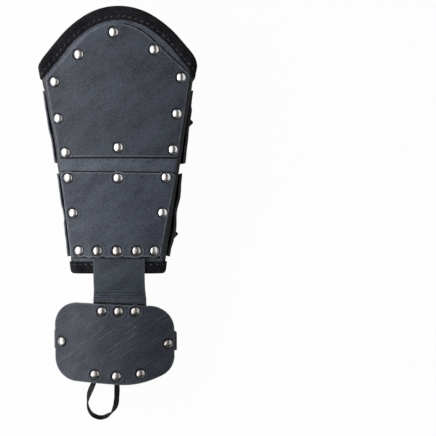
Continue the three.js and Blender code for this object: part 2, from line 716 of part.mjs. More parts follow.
function makePalmStrap() {
  const { centre, y: middleY, slant, width, overlap, bend, topRadius, floorRadius } = palmStrap;
  const seat = handPlate.radius - clearance - strapThickness / 2;
  const bendTurn = Math.asin(bend / handPlate.radius);
  const startTurn = bendTurn - overlap / handPlate.radius;
  const base = onHand(handPlate.centre, middleY, -handPlate.radius).z;
  const start = new THREE.Vector2(seat * Math.sin(startTurn), base + seat * Math.cos(startTurn));
  const dropWay = Math.PI / 2 + wallLean;
  const upperLegs = [
    { radius: seat, turn: bendTurn - startTurn, steps: 3 },
    { radius: topRadius, turn: dropWay - bendTurn, steps: 4 },
  ];
  const dropTop = walk(start, startTurn, upperLegs).at(-1).y;
  const floorDrop = floorRadius * (1 - Math.sin(wallLean));
  const drop = (dropTop - floorDrop - strapThickness / 2) / Math.cos(wallLean);
  const lowerLegs = [{ run: drop }, { radius: floorRadius, turn: Math.PI - dropWay, steps: 4 }];
  const right = walk(start, startTurn, [...upperLegs, ...lowerLegs]);
  const left = right.map(({ x, y }) => new THREE.Vector2(-x, y));
  const path = [...left, ...right.toReversed()];
  const top = start.y;
  const sheet = bentBox(path.length - 1, 1, (across, along, through) => {
    const station = Math.round(across * (path.length - 1));
    const ahead = path[Math.min(station + 1, path.length - 1)];
    const behind = path[Math.max(station - 1, 0)];
    const way = ahead.clone().sub(behind).normalize();
    const shift = (through - 0.5) * strapThickness;
    const y = (along - 0.5) * width;
    const z = path[station].y + way.x * shift;
    const tilt = handPlate.slope * y * smoothstep(z, 2 * floorRadius, top);
    const x = path[station].x - way.y * shift;
    return new THREE.Vector3(centre + x, middleY + y - slant * x, z + tilt);
  });
  const solid = pierce(toSolid(sheet), handSeats.slice(3, 5));
  addMesh(bracer, "palm_strap", toGeometry(solid), softLeather);
}

function makeFingerLoop() {
  const route = new THREE.CatmullRomCurve3(loopRoute.map(({ x, y, z }) => new THREE.Vector3(x, y, z)));
  const sheet = bentBox(loopSteps, 1, (across, along, through) => {
    const place = across * (loopRoute.length - 1);
    const row = Math.min(Math.floor(place), loopRoute.length - 2);
    const roll = degToRad(lerp(loopRoute[row].roll, loopRoute[row + 1].roll, place - row));
    const way = route.getTangent(across);
    const facing = new THREE.Vector3(0, -loopLean * Math.sin(roll), 1);
    facing.addScaledVector(way, -facing.dot(way)).normalize();
    const inward = facing.clone().cross(way);
    const broad = inward.multiplyScalar(Math.cos(roll)).addScaledVector(facing, Math.sin(roll));
    const thin = way.clone().cross(broad);
    const point = route.getPoint(across);
    point.addScaledVector(broad, (along - 0.5) * loopWidth);
    return point.addScaledVector(thin, (through - 0.5) * loopThickness);
  });
  addMesh(bracer, "finger_loop", sheet, blackLeather);
}

makeBody();
makeBindings();
makeFrontPlates();
makeSidePlates();
closures.forEach(makeClosure);
makeHandStrap();
makeHandPlate();
makePalmStrap();
makeFingerLoop();
addRivets(bracer, "upper_rivet", upperSeats);
addRivets(bracer, "lower_rivet", lowerSeats);
addRivets(bracer, "hand_rivet", handSeats);
for (const { level, side, seats } of sideSeats) {
  addRivets(bracer, `side_rivet_${level}_${side.name}`, seats);
}

export default bracer;
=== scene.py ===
# %% [markdown]
# # A riveted leather bracer
# A bracer guards the forearm. This one is a tapered leather tube with two plates riveted on its front, black
# suede folded over both rims, a strap that carries a plate for the back of the hand, and a narrow loop for a
# finger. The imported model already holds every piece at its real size, so it comes first, as a fixed frame.
# All sizes below are in millimetres and become metres only when a mesh is made.

# %% Load the frame
import math
from functools import lru_cache

import bmesh
import bpy
from mathutils import Matrix, Vector, kdtree, noise


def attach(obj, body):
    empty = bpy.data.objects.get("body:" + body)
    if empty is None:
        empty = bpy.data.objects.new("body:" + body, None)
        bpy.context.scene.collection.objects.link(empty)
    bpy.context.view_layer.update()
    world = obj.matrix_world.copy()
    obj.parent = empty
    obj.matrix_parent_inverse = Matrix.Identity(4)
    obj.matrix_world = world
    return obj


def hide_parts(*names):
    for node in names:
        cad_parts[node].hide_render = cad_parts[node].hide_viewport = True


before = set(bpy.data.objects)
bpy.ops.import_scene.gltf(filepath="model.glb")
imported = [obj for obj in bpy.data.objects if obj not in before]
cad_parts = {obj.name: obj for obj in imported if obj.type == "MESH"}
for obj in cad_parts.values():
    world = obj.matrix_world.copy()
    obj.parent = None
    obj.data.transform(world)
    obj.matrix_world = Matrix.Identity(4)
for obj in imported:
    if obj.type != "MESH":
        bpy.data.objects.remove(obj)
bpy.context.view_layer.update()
MM = 0.001
NOISE_SEED = 7
noise.seed_set(NOISE_SEED)  # so that every run gives the same bracer

# %% [markdown]
# ## The tube's section
# Every leather piece lies on the forearm tube, so the tube is written down once as a rule: a shallow crown in
# front, a rounded corner, a leaning side wall, a wide back corner and a flat back with a slot. A point is
# found by walking that line. A drawn curve would do for one section, but the rule holds at any height.

# %% Section of the forearm tube
WRIST = {"y": -49.4, "centre": -1.5, "half_width": 42.2, "front": 56.0, "corner": 6.5, "back": 16.0}
ELBOW = {"y": 191.5, "centre": 0.17, "half_width": 78.6, "front": 88.0, "corner": 8.5, "back": 26.0}
CROWN_SHARE = 0.11
WALL_LEAN = math.radians(10)
CLEARANCE = 0.3
BODY_THICK = 2.2
PLATE_THICK = 2.2
STRAP_THICK = 2.0
BACK_HEIGHT = STRAP_THICK + CLEARANCE
BACK_SLOT_HALF = 11.0


def lerp(a, b, share):
    return a + (b - a) * share


def smooth(value, low, high):
    share = min(max((value - low) / (high - low), 0.0), 1.0)
    return share * share * (3 - 2 * share)


def spread(low, high, count):
    return [lerp(low, high, k / (count - 1)) for k in range(count)]


@lru_cache(maxsize=None)
def tube_section(y):
    share = (y - WRIST["y"]) / (ELBOW["y"] - WRIST["y"])
    size = {key: lerp(WRIST[key], ELBOW[key], share) for key in WRIST}
    half, corner, back = size["half_width"], size["corner"], size["back"]
    crown = half / (2 * CROWN_SHARE)
    crown_turn = math.asin((half - corner) / (crown - corner))
    corner_turn = math.pi / 2 + WALL_LEAN - crown_turn
    back_turn = math.pi / 2 - WALL_LEAN
    corner_x = crown * math.sin(crown_turn) + corner * (math.cos(WALL_LEAN) - math.sin(crown_turn))
    drop = crown * (1 - math.cos(crown_turn)) + corner * (math.cos(crown_turn) + math.sin(WALL_LEAN))
    back_drop = back * (1 - math.sin(WALL_LEAN))
    wall = (size["front"] - drop - back_drop - BACK_HEIGHT) / math.cos(WALL_LEAN)
    flat_end = corner_x - wall * math.sin(WALL_LEAN) - back * math.cos(WALL_LEAN)
    legs = (
        (crown * crown_turn, crown_turn),
        (corner * corner_turn, corner_turn),
        (wall, 0.0),
        (back * back_turn, back_turn),
        (flat_end - BACK_SLOT_HALF, 0.0),
    )
    return {"centre": size["centre"], "front": size["front"], "crown": crown, "back": back, "wall": wall,
            "flat_end": flat_end, "legs": legs}


print("side wall:", [round(tube_section(end["y"])["wall"], 1) for end in (WRIST, ELBOW)], "mm deep")

# %% [markdown]
# ## From flat leather to the tube
# A leather worker draws a pattern on the flat hide and then wraps it. The same is done here: a piece is
# laid out by its arc across and its height along the arm, and these functions give the point in space. A
# Curve modifier could wrap a mesh too, but it knows one path only, while this tube changes its section all
# the way.

# %% Points on the tube
COLUMNS_PER_LEG = (6, 4, 2, 4, 1)
WALL_COLUMN, BACK_COLUMN, FLAT_COLUMN, LAST_COLUMN = 10, 12, 16, 17
LAST_LEG = len(COLUMNS_PER_LEG) - 1


def on_tube(arc, y, lift):
    section = tube_section(y)
    rest, x, z, heading = abs(arc), 0.0, section["front"], 0.0
    for index, (length, turn) in enumerate(section["legs"]):
        run = rest if index == LAST_LEG else min(rest, length)
        if turn > 0:
            radius = length / turn
            ahead = heading + run / radius
            x += radius * (math.sin(ahead) - math.sin(heading))
            z -= radius * (math.cos(heading) - math.cos(ahead))
            heading = ahead
        else:
            x += run * math.cos(heading)
            z -= run * math.sin(heading)
        rest -= run
    x += lift * math.sin(heading)
    z += lift * math.cos(heading)
    return Vector((section["centre"] + math.copysign(x, arc), y, z))


def column_arc(column, y):
    rest, arc = abs(column), 0.0
    for (length, _), count in zip(tube_section(y)["legs"], COLUMNS_PER_LEG):
        used = min(rest, count)
        arc += length * used / count
        rest -= used
    return math.copysign(arc, column)


def on_column(column, y, lift):
    return on_tube(column_arc(column, y), y, lift)


def on_front(x, y, lift):
    section = tube_section(y)
    return on_tube(section["crown"] * math.asin((x - section["centre"]) / section["crown"]), y, lift)


def on_wall(side, depth, y, lift):
    legs = tube_section(y)["legs"]
    return on_tube(side * (legs[0][0] + legs[1][0] + depth), y, lift)


print("front of the elbow crest at", [round(v, 1) for v in on_front(0, 190, 0)])

# %% [markdown]
# ## Leather sheets
# Leather is a sheet with a cut edge. Each piece is first a grid that gives its outer face. Solidify then
# gives the thickness, and Bevel rounds the cut edge a little, because a sharp edge catches no light. The rim
# faces get a second material, the raw edge. The modifiers are applied at once, so that a plain mesh is left.

# %% Sheet helpers
EDGE_SEGMENTS, EDGE_ANGLE = 3, math.radians(55)


def new_piece(label, points, faces):
    name = label + "_detail"
    mesh = bpy.data.meshes.new(name)
    mesh.from_pydata([Vector(point) * MM for point in points], [], faces)
    mesh.update()
    piece = bpy.data.objects.new(name, mesh)
    bpy.context.scene.collection.objects.link(piece)
    return piece


def grid_piece(name, across, along, place):
    points = [place(u, v) for v in along for u in across]
    width = len(across)
    faces = []
    for j in range(len(along) - 1):
        for i in range(width - 1):
            corner = j * width + i
            faces.append((corner, corner + 1, corner + width + 1, corner + width))
    return new_piece(name, points, faces)


def mark(piece, name, values):
    attribute = piece.data.attributes.new(name, "FLOAT", "POINT")
    attribute.data.foreach_set("value", values)


def mark_sides(piece, width, rows, reach):
    """Marks the two long sides of a strap as paler edges, for wear and a painted highlight."""
    row = [max(0.0, 1 - min(u, width - 1 - u) / reach) for u in range(width)]
    mark(piece, "edge", row * rows)


def applied(piece):
    """The piece as its modifiers show it, as a plain mesh on the same object."""
    graph = bpy.context.evaluated_depsgraph_get()
    mesh = bpy.data.meshes.new_from_object(piece.evaluated_get(graph))
    old = piece.data
    piece.modifiers.clear()
    piece.data = mesh
    bpy.data.meshes.remove(old)
    mesh.name = piece.name
    mesh.shade_smooth()
    return piece


def thicken(piece, thickness, rounding, offset=-1.0):
    solidify = piece.modifiers.new("thickness", "SOLIDIFY")
    solidify.thickness = thickness * MM
    solidify.offset = offset
    solidify.use_even_offset = True
    solidify.material_offset_rim = 1
    bevel = piece.modifiers.new("rounding", "BEVEL")
    bevel.width = rounding * MM
    bevel.segments = EDGE_SEGMENTS
    bevel.limit_method = "ANGLE"
    bevel.angle_limit = EDGE_ANGLE
    return applied(piece)


# %% [markdown]
# ## Shader groups
# The same leather grain runs over many pieces, so it is a node group with its own inputs, and so are the edge
# wear with its painted highlight and shade, the nap of the suede and the painted shadow where one sheet lies
# on another. Everything reads Object coordinates, so the grain has one real size all over the bracer.

# %% Shader helpers
def add_node(tree, kind, values=None, **settings):
    node = tree.nodes.new(kind)
    for name, value in settings.items():
        setattr(node, name, value)
    for name, value in (values or {}).items():
        node.inputs[name].default_value = value
    return node


def start_group(name, inputs, outputs):
    tree = bpy.data.node_groups.new(name, "ShaderNodeTree")
    for label, kind, value in inputs:
        tree.interface.new_socket(label, in_out="INPUT", socket_type=kind).default_value = value
    for label, kind in outputs:
        tree.interface.new_socket(label, in_out="OUTPUT", socket_type=kind)
    return tree, tree.nodes.new("NodeGroupInput"), tree.nodes.new("NodeGroupOutput")


def ranged(tree, source, low, high, to_low=0.0, to_high=1.0):
    node = add_node(tree, "ShaderNodeMapRange", {"From Min": low, "From Max": high, "To Min": to_low,
                                                 "To Max": to_high})
    tree.links.new(source, node.inputs["Value"])
    return node.outputs["Result"]


def calc(tree, operation, first, second):
    node = add_node(tree, "ShaderNodeMath", operation=operation)
    for index, value in enumerate((first, second)):
        if isinstance(value, (int, float)):
            node.inputs[index].default_value = value
        else:
            tree.links.new(value, node.inputs[index])
    return node.outputs[0]


def mixed(tree, factor, first, second):
    node = add_node(tree, "ShaderNodeMix", data_type="RGBA")
    for index, value in ((0, factor), (6, first), (7, second)):
        if isinstance(value, (int, float, tuple)):
            node.inputs[index].default_value = value
        else:
            tree.links.new(value, node.inputs[index])
    return node.outputs[2]


def noise_on(tree, vector, scale, detail, roughness=0.55):
    node = add_node(tree, "ShaderNodeTexNoise", {"Scale": scale, "Detail": detail, "Roughness": roughness})
    tree.links.new(vector, node.inputs["Vector"])
    return node.outputs["Fac"]


def turned(tree, vector, angle, stretch):
    node = add_node(tree, "ShaderNodeMapping", {"Rotation": (0, 0, angle), "Scale": stretch},
                    vector_type="TEXTURE")
    tree.links.new(vector, node.inputs["Vector"])
    return node.outputs["Vector"]


def dye(r, g, b):
    """A colour as it looks on a screen, 0 to 255, as the linear value that a shader takes."""
    shares = [v / 255 for v in (r, g, b)]
    linear = [((v + 0.055) / 1.055) ** 2.4 if v > 10 / 255 else v / 12.92 for v in shares]
    return tuple(linear) + (1.0,)


print("a screen's (74, 80, 91) is", [round(v, 3) for v in dye(74, 80, 91)], "to a shader")


# %% [markdown]
# ## Leather grain
# Dyed leather is never one colour: cloudy patches, slanting flecks and pores all show. A scanned picture
# could give that, but it repeats, and none is used here. Noises and a Voronoi texture give it at any size,
# and the same share of dark and light also steers the gloss.

# %% Group: leather grain
DYE = "NodeSocketColor"
NUMBER = "NodeSocketFloat"


def build_leather_grain():
    tree, given, result = start_group(
        "leather_grain",
        [("Dark", DYE, (0.03, 0.035, 0.045, 1)), ("Light", DYE, (0.08, 0.09, 0.11, 1)),
         ("Pore Scale", NUMBER, 1300.0)],
        [("Color", DYE), ("Roughness", NUMBER), ("Height", NUMBER)],
    )
    place = add_node(tree, "ShaderNodeTexCoord").outputs["Object"]
    streaked = turned(tree, place, math.radians(40), (2.2, 1.0, 1.0))
    clouds = ranged(tree, noise_on(tree, streaked, 60.0, 7.0, 0.72), 0.36, 0.66)
    slanted = turned(tree, place, math.radians(36), (1.4, 1.0, 1.0))
    flecks = ranged(tree, noise_on(tree, slanted, 1250.0, 2.0, 0.6), 0.34, 0.57)
    creases = noise_on(tree, place, 240.0, 6.0, 0.7)
    pores = add_node(tree, "ShaderNodeTexVoronoi", feature="F1")
    tree.links.new(place, pores.inputs["Vector"])
    tree.links.new(given.outputs["Pore Scale"], pores.inputs["Scale"])
    share = calc(tree, "ADD", calc(tree, "MULTIPLY", clouds, 0.42), calc(tree, "MULTIPLY", flecks, 0.58))
    tree.links.new(mixed(tree, share, given.outputs["Dark"], given.outputs["Light"]), result.inputs["Color"])
    tree.links.new(ranged(tree, share, 0.0, 1.0, 0.6, 0.46), result.inputs["Roughness"])
    relief = calc(tree, "ADD", calc(tree, "MULTIPLY", pores.outputs["Distance"], 0.5),
                  calc(tree, "MULTIPLY", creases, 0.8))
    tree.links.new(calc(tree, "ADD", relief, calc(tree, "MULTIPLY", flecks, 0.35)), result.inputs["Height"])
    return tree


leather_grain = build_leather_grain()
print("leather_grain:", len(leather_grain.nodes), "nodes")

# %% [markdown]
# ## Wear and painted light
# Dye rubs off along a cut edge, and the edge tone there also paints a highlight. Shade is painted near-black
# where a mesh carries the "pressed" mark: in a ring round each cap, in the folds beside the side plates and
# over the right side plates. Both places are known when a mesh is made, so they are stored on its points and
# only read here. Pointiness would find edges by itself, but what it finds depends on how fine the mesh is.

# %% Group: wear and painted highlight towards a cut edge, painted shade where marked
def build_edge_wear_and_painted_light():
    tree, given, result = start_group(
        "edge_wear",
        [("Color", DYE, (0.05, 0.05, 0.06, 1)), ("Worn", DYE, (0.16, 0.17, 0.19, 1)),
         ("Amount", NUMBER, 0.5)],
        [("Color", DYE)],
    )
    place = add_node(tree, "ShaderNodeTexCoord").outputs["Object"]
    edge = add_node(tree, "ShaderNodeAttribute", attribute_name="edge").outputs["Fac"]
    broken = ranged(tree, noise_on(tree, place, 130.0, 4.0, 0.6), 0.3, 0.62, 0.25, 1.0)
    share = calc(tree, "MULTIPLY", calc(tree, "POWER", edge, 2.0), broken)
    share = calc(tree, "MULTIPLY", share, given.outputs["Amount"])
    edging = mixed(tree, share, given.outputs["Color"], given.outputs["Worn"])
    # Where the "pressed" mark is set, shade is painted in as a near-black.
    pressed = add_node(tree, "ShaderNodeAttribute", attribute_name="pressed").outputs["Fac"]
    painted_shade = calc(tree, "MULTIPLY", pressed, 0.85)
    tree.links.new(mixed(tree, painted_shade, edging, dye(10, 11, 14)), result.inputs["Color"])
    return tree


edge_wear = build_edge_wear_and_painted_light()
print("edge_wear:", len(edge_wear.nodes), "nodes")

# %% [markdown]
# ## Scratches
# Long scratches run across the hand plate, nearly all one way. They could be cut as grooves, but they are
# thinner than the mesh is fine. A noise stretched in one direction gives lines, and a second noise keeps
# them in patches.

# %% Group: long scratches
FINE_SCRATCHES = (0.024, 0.00045, 0.58, 0.72, 60.0)
BROAD_SCRATCHES = (0.036, 0.0008, 0.66, 0.73, 30.0)


def build_scratches():
    """Each kind has a length and a breadth in metres, where a line starts and ends, and its patches."""
    tree, given, result = start_group("scratches", [("Turn", NUMBER, 34.0)], [("Mask", NUMBER)])
    place = add_node(tree, "ShaderNodeTexCoord").outputs["Object"]
    turn = add_node(tree, "ShaderNodeCombineXYZ")
    angle = calc(tree, "MULTIPLY", given.outputs["Turn"], math.pi / 180)
    tree.links.new(angle, turn.inputs["Z"])
    masks = []
    for length, breadth, low, high, field in (FINE_SCRATCHES, BROAD_SCRATCHES):
        lined = add_node(tree, "ShaderNodeMapping", {"Scale": (length, breadth, length)},
                         vector_type="TEXTURE")
        tree.links.new(place, lined.inputs["Vector"])
        tree.links.new(turn.outputs["Vector"], lined.inputs["Rotation"])
        lines = ranged(tree, noise_on(tree, lined.outputs["Vector"], 1.0, 1.0, 0.5), low, high)
        patches = ranged(tree, noise_on(tree, place, field, 2.0), 0.4, 0.6)
        masks.append(calc(tree, "MULTIPLY", lines, patches))
    fainter = calc(tree, "MULTIPLY", masks[0], 0.6)
    tree.links.new(calc(tree, "MAXIMUM", fainter, masks[1]), result.inputs["Mask"])
    return tree


scratches = build_scratches()
print("scratches:", len(scratches.nodes), "nodes")

# %% [markdown]
# ## Where one sheet lies on another
# A thin line of painted shadow lies on the leather along the edge of each plate. It is a mask by the
# distance from a straight line in plan. The line's two ends are inputs, so one group serves every edge.
# Baked shadow would give it too, but would have to be made again after each change.

# %% Group: painted shadow along a lap
def build_lap_shadow():
    tree, given, result = start_group(
        "lap_line",
        [("Start", "NodeSocketVector", (0, 0, 0)), ("End", "NodeSocketVector", (0.1, 0, 0)),
         ("Half Width", NUMBER, 0.001)],
        [("Mask", NUMBER)],
    )

    def vector_math(operation, first, second, output="Vector"):
        node = add_node(tree, "ShaderNodeVectorMath", operation=operation)
        for socket, value in ((node.inputs[0], first), (node.inputs[1], second)):
            if isinstance(value, tuple):
                socket.default_value = value
            else:
                tree.links.new(value, socket)
        return node.outputs[output]

    place = add_node(tree, "ShaderNodeTexCoord").outputs["Object"]
    plan = vector_math("MULTIPLY", place, (1, 1, 0))
    off = vector_math("SUBTRACT", plan, given.outputs["Start"])
    run = vector_math("SUBTRACT", given.outputs["End"], given.outputs["Start"])
    share = calc(tree, "DIVIDE", vector_math("DOT_PRODUCT", off, run, "Value"),
                 vector_math("DOT_PRODUCT", run, run, "Value"))
    nearest = add_node(tree, "ShaderNodeVectorMath", operation="SCALE")
    tree.links.new(run, nearest.inputs[0])
    tree.links.new(ranged(tree, share, 0.0, 1.0), nearest.inputs["Scale"])
    distance = vector_math("DISTANCE", off, nearest.outputs["Vector"], "Value")
    uneven = ranged(tree, noise_on(tree, place, 160.0, 2.0), 0.3, 0.7, 0.8, 1.2)
    near = calc(tree, "DIVIDE", distance, calc(tree, "MULTIPLY", given.outputs["Half Width"], uneven))
    tree.links.new(ranged(tree, near, 0.45, 1.0, 1.0, 0.0), result.inputs["Mask"])
    return tree


lap_line = build_lap_shadow()
print("lap_line:", len(lap_line.nodes), "nodes")

# %% [markdown]
# ## Suede nap
# Suede is the brushed side of the hide, and its short fibres lie in lighter and darker patches. Hair would
# be the literal way, and far too heavy for a binding. A coarse noise gives the patches and a fine one the
# fibres.

# %% Group: nap of the suede
def build_suede_nap():
    tree, given, result = start_group(
        "suede_nap",
        [("Dark", DYE, (0.008, 0.008, 0.01, 1)), ("Light", DYE, (0.03, 0.03, 0.036, 1))],
        [("Color", DYE), ("Height", NUMBER)],
    )
    place = add_node(tree, "ShaderNodeTexCoord").outputs["Object"]
    brushed = ranged(tree, noise_on(tree, place, 95.0, 4.0, 0.6), 0.36, 0.64)
    fibres = noise_on(tree, place, 700.0, 4.0, 0.75)
    share = calc(tree, "ADD", calc(tree, "MULTIPLY", brushed, 0.3),
                 calc(tree, "MULTIPLY", ranged(tree, fibres, 0.46, 0.7), 0.65))
    tree.links.new(mixed(tree, share, given.outputs["Dark"], given.outputs["Light"]), result.inputs["Color"])
    tree.links.new(fibres, result.inputs["Height"])
    return tree


suede_nap = build_suede_nap()
print("groups:", [group.name for group in bpy.data.node_groups])

# %% [markdown]
# ## Materials
# Each finish is a Principled BSDF whose constant values stay on its own sockets, while colour, roughness and
# bump come from the groups. The plates are satin slate leather, the straps are softer and duller, the
# bindings are suede, and the raw edges show the paler inside of the hide.

# %% Material helpers
def use_group(tree, group, **values):
    node = add_node(tree, "ShaderNodeGroup", node_tree=group)
    for name, value in values.items():
        node.inputs[name.replace("_", " ")].default_value = value
    return node


def start_material(name, **values):
    material = bpy.data.materials.new(name)
    material.use_nodes = True
    tree = material.node_tree
    shader = tree.nodes["Principled BSDF"]
    for label, value in values.items():
        shader.inputs[label.replace("_", " ")].default_value = value
    return material, tree, shader


def bump(tree, shader, height, distance, strength=1.0):
    node = add_node(tree, "ShaderNodeBump", {"Strength": strength, "Distance": distance * MM})
    tree.links.new(height, node.inputs["Height"])
    tree.links.new(node.outputs["Normal"], shader.inputs["Normal"])


# %% [markdown]
# ## The leathers
# All the leather is one kind of hide in several dyes: slate on the plates, paler on the body, darker on the
# hand plate, and black on the hidden straps. Copies of one material would drift apart, so one function wires
# the groups to the shader, and each leather only gives its two tones, its edge tone, its bump and any painted
# shadow lines or scratches.

# %% Material: slate leather
def make_leather(name, dark, light, edging, amount, bump_mm, extra=None, **values):
    material, tree, shader = start_material(name, **values)
    grain = use_group(tree, leather_grain, Dark=dark, Light=light)
    wear = use_group(tree, edge_wear, Worn=edging, Amount=amount)
    colour, height = grain.outputs["Color"], grain.outputs["Height"]
    if extra:
        colour, height = extra(tree, colour, height)
    tree.links.new(colour, wear.inputs["Color"])
    tree.links.new(wear.outputs["Color"], shader.inputs["Base Color"])
    tree.links.new(grain.outputs["Roughness"], shader.inputs["Roughness"])
    bump(tree, shader, height, bump_mm)
    return material


# The edge tone is paler than the leather: rubbed dye, with a painted highlight along the edge.
EDGE_TONE = dye(128, 134, 145)
slate_leather = make_leather("slate_leather", dye(8, 13, 23), dye(74, 80, 91), EDGE_TONE, 0.8, 0.06,
                             Specular_IOR_Level=0.3)
lower_leather = make_leather("lower_leather", dye(15, 21, 32), dye(80, 86, 98), EDGE_TONE, 0.8, 0.06,
                             Specular_IOR_Level=0.3)
# Lines of painted shadow, each a start, an end and a half width: along the feet of both plates and the top of
# the lower one, down the upper plate's right-hand edges on the side away from the light, and on the hand
# strap under the lower plate's foot and the hand plate's top edge.
BODY_LAP_SHADOWS = [
    ((-52, 57.2), (53.2, 57.2), 1.3),
    ((-51.4, 44.6), (51.6, 43.4), 1.15),
    ((-42.4, -34.3), (37, -34.3), 1.4),
    ((54.6, 59), (65.8, 131.5), 0.9),
    ((65.6, 132.6), (29.9, 164.8), 1.2),
    ((29.9, 164.8), (20.4, 171.8), 1.2),
    ((20.4, 171.8), (8, 175.7), 1.0),
]
STRAP_LAP_SHADOWS = [((-30, -34.3), (30, -34.3), 1.3), ((-26, -76.4), (26, -78.8), 1.3)]


def lap_shadowed(laps):
    """Paints shadow on the leather along the edges of the sheets that lie on it."""
    def paint_lap_shadow(tree, colour, height):
        mask = None
        for start, end, half_width in laps:
            line = use_group(tree, lap_line, Start=(start[0] * MM, start[1] * MM, 0),
                             End=(end[0] * MM, end[1] * MM, 0), Half_Width=half_width * MM).outputs["Mask"]
            mask = line if mask is None else calc(tree, "MAXIMUM", mask, line)
        return mixed(tree, mask, colour, dye(6, 6, 8)), height
    return paint_lap_shadow


# On the body the edge tone is a brownish tint of light painted on the left corner, and the lap lines are
# painted shadow.
body_leather = make_leather("body_leather", dye(30, 36, 47), dye(95, 101, 113), dye(66, 60, 58), 1.0, 0.06,
                            lap_shadowed(BODY_LAP_SHADOWS), Specular_IOR_Level=0.3)


def scratched(tree, colour, height):
    lines = use_group(tree, scratches, Turn=34.0).outputs["Mask"]
    paler = mixed(tree, calc(tree, "MULTIPLY", lines, 0.52), colour, dye(122, 128, 140))
    return paler, calc(tree, "SUBTRACT", height, calc(tree, "MULTIPLY", lines, 1.2))


hand_leather = make_leather("hand_leather", dye(12, 17, 27), dye(60, 65, 75), EDGE_TONE, 0.5, 0.06, scratched,
                            Specular_IOR_Level=0.3)
strap_leather = make_leather("strap_leather", dye(14, 20, 30), dye(71, 77, 87), dye(104, 110, 121), 0.6, 0.08,
                             lap_shadowed(STRAP_LAP_SHADOWS), Specular_IOR_Level=0.25)
black_leather = make_leather("black_leather", dye(8, 8, 10), dye(22, 22, 26), dye(40, 40, 45), 0.4, 0.08,
                             Specular_IOR_Level=0.2)
print("laps:", len(BODY_LAP_SHADOWS), "on the body,", len(STRAP_LAP_SHADOWS), "on the hand strap")

# %% [markdown]
# ## Edge, thread, metal and suede
# A cut edge shows pale fibres, the thread is waxed, and the caps are plated and a little scuffed. Those on
# the hand plate and over the strap have gone duller. One noise steers colour and roughness in each of them.
# Suede has its own group, and a weak sheen for the nap.

# %% Material: raw edge, suede, thread and nickel
def make_plain(name, dark, light, scale, bump_mm, roughness, **values):
    material, tree, shader = start_material(name, **values)
    place = add_node(tree, "ShaderNodeTexCoord").outputs["Object"]
    fibres = noise_on(tree, place, scale, 5.0, 0.65)
    tree.links.new(mixed(tree, ranged(tree, fibres, 0.32, 0.68), dark, light), shader.inputs["Base Color"])
    tree.links.new(ranged(tree, fibres, 0.3, 0.7, roughness[0], roughness[1]), shader.inputs["Roughness"])
    bump(tree, shader, fibres, bump_mm)
    return material


raw_edge = make_plain("raw_edge", dye(84, 85, 90), dye(176, 178, 184), 420.0, 0.12, (0.75, 0.95))
black_edge = make_plain("black_edge", dye(12, 12, 14), dye(34, 34, 38), 420.0, 0.1, (0.7, 0.95))
thread = make_plain("thread", dye(22, 22, 25), dye(96, 98, 104), 300.0, 0.1, (0.7, 0.9))
nickel = make_plain("nickel", dye(206, 205, 204), dye(240, 239, 238), 260.0, 0.01, (0.2, 0.3), Metallic=1.0)
worn_nickel = make_plain("worn_nickel", dye(150, 145, 142), dye(204, 200, 197), 260.0, 0.01, (0.24, 0.34),
                         Metallic=1.0)


def make_suede():
    material, tree, shader = start_material("black_suede", Roughness=0.95, Specular_IOR_Level=0.1,
                                            Sheen_Weight=0.05, Sheen_Roughness=0.5)
    nap = use_group(tree, suede_nap, Dark=dye(6, 6, 8), Light=dye(50, 50, 56))
    tree.links.new(nap.outputs["Color"], shader.inputs["Base Color"])
    bump(tree, shader, nap.outputs["Height"], 0.18)
    return material


black_suede = make_suede()
print("materials:", [material.name for material in bpy.data.materials])

# %% [markdown]
# ## Handing a piece over
# Every finished piece rides on a body of the imported model and stands for its nodes, which are hidden.
# It could be said piece by piece, but one function says it the same way for all of them.

# %% Hand a piece over
def finish(piece, nodes, slot, *materials):
    piece.data.materials.clear()
    for material in materials:
        piece.data.materials.append(material)
    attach(piece, "root")
    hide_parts(*nodes)
    print(piece.name, len(piece.data.polygons), "faces")
    return piece


# %% [markdown]
# ## Where the rivets sit
# Each rivet presses a dimple into its plate, so the rivets' places are needed before the plates. They are
# written down in plan, as seen from above, and lifted on to the surface that carries them. The slope of that
# surface gives the way each cap points.

# %% Rivet places
UPPER_RIVETS = [(-1.7, 168.1), (-33.4, 148.9), (34.2, 153.2), (-56, 125.2), (58.1, 129.1), (-53.2, 92.4),
                (54.1, 96.7), (-47.2, 61.7), (1.2, 66.1), (50.3, 64.4)]
LOWER_RIVETS = [(-45.2, 38.6), (0.6, 38.3), (44, 39.2), (-41.2, 6.5), (40.5, 6.9), (-36, -28), (-18.4, -28),
                (-0.9, -28), (16.8, -28), (32.7, -28)]
HAND_RIVETS = [(-15.6, -84.6), (-0.4, -84.7), (14.8, -84.7), (-54.5, -113.5), (44.2, -116), (-22.6, -143.7),
               (-2.8, -145.4), (19.4, -143.3)]
HAND_STRAP = {"centre": 0.3, "half": 23.7, "top": -18.0, "foot": -95.0}
HAND_PLATE = {"centre": -5.1, "y": -78.0, "underside": 52.8, "slope": 0.07, "radius": 125.0}
BINDING_THICK = 1.3


def strap_climb(y):
    return lerp(BINDING_THICK + 2 * CLEARANCE, CLEARANCE, smooth(y, -36, -20))


def lower_plate_seat(x, y):
    beside = abs(x - HAND_STRAP["centre"]) - HAND_STRAP["half"]
    over = lerp(1.0, 0.3, smooth(beside, 0.5, 13)) * (1 - smooth(y - HAND_STRAP["top"], 2, 20))
    return CLEARANCE + over * (strap_climb(y) + STRAP_THICK)


def on_upper_plate(x, y, lift):
    return on_front(x, y, CLEARANCE + PLATE_THICK + lift)


def on_lower_plate(x, y, lift):
    return on_front(x, y, lower_plate_seat(x, y) + PLATE_THICK + lift)


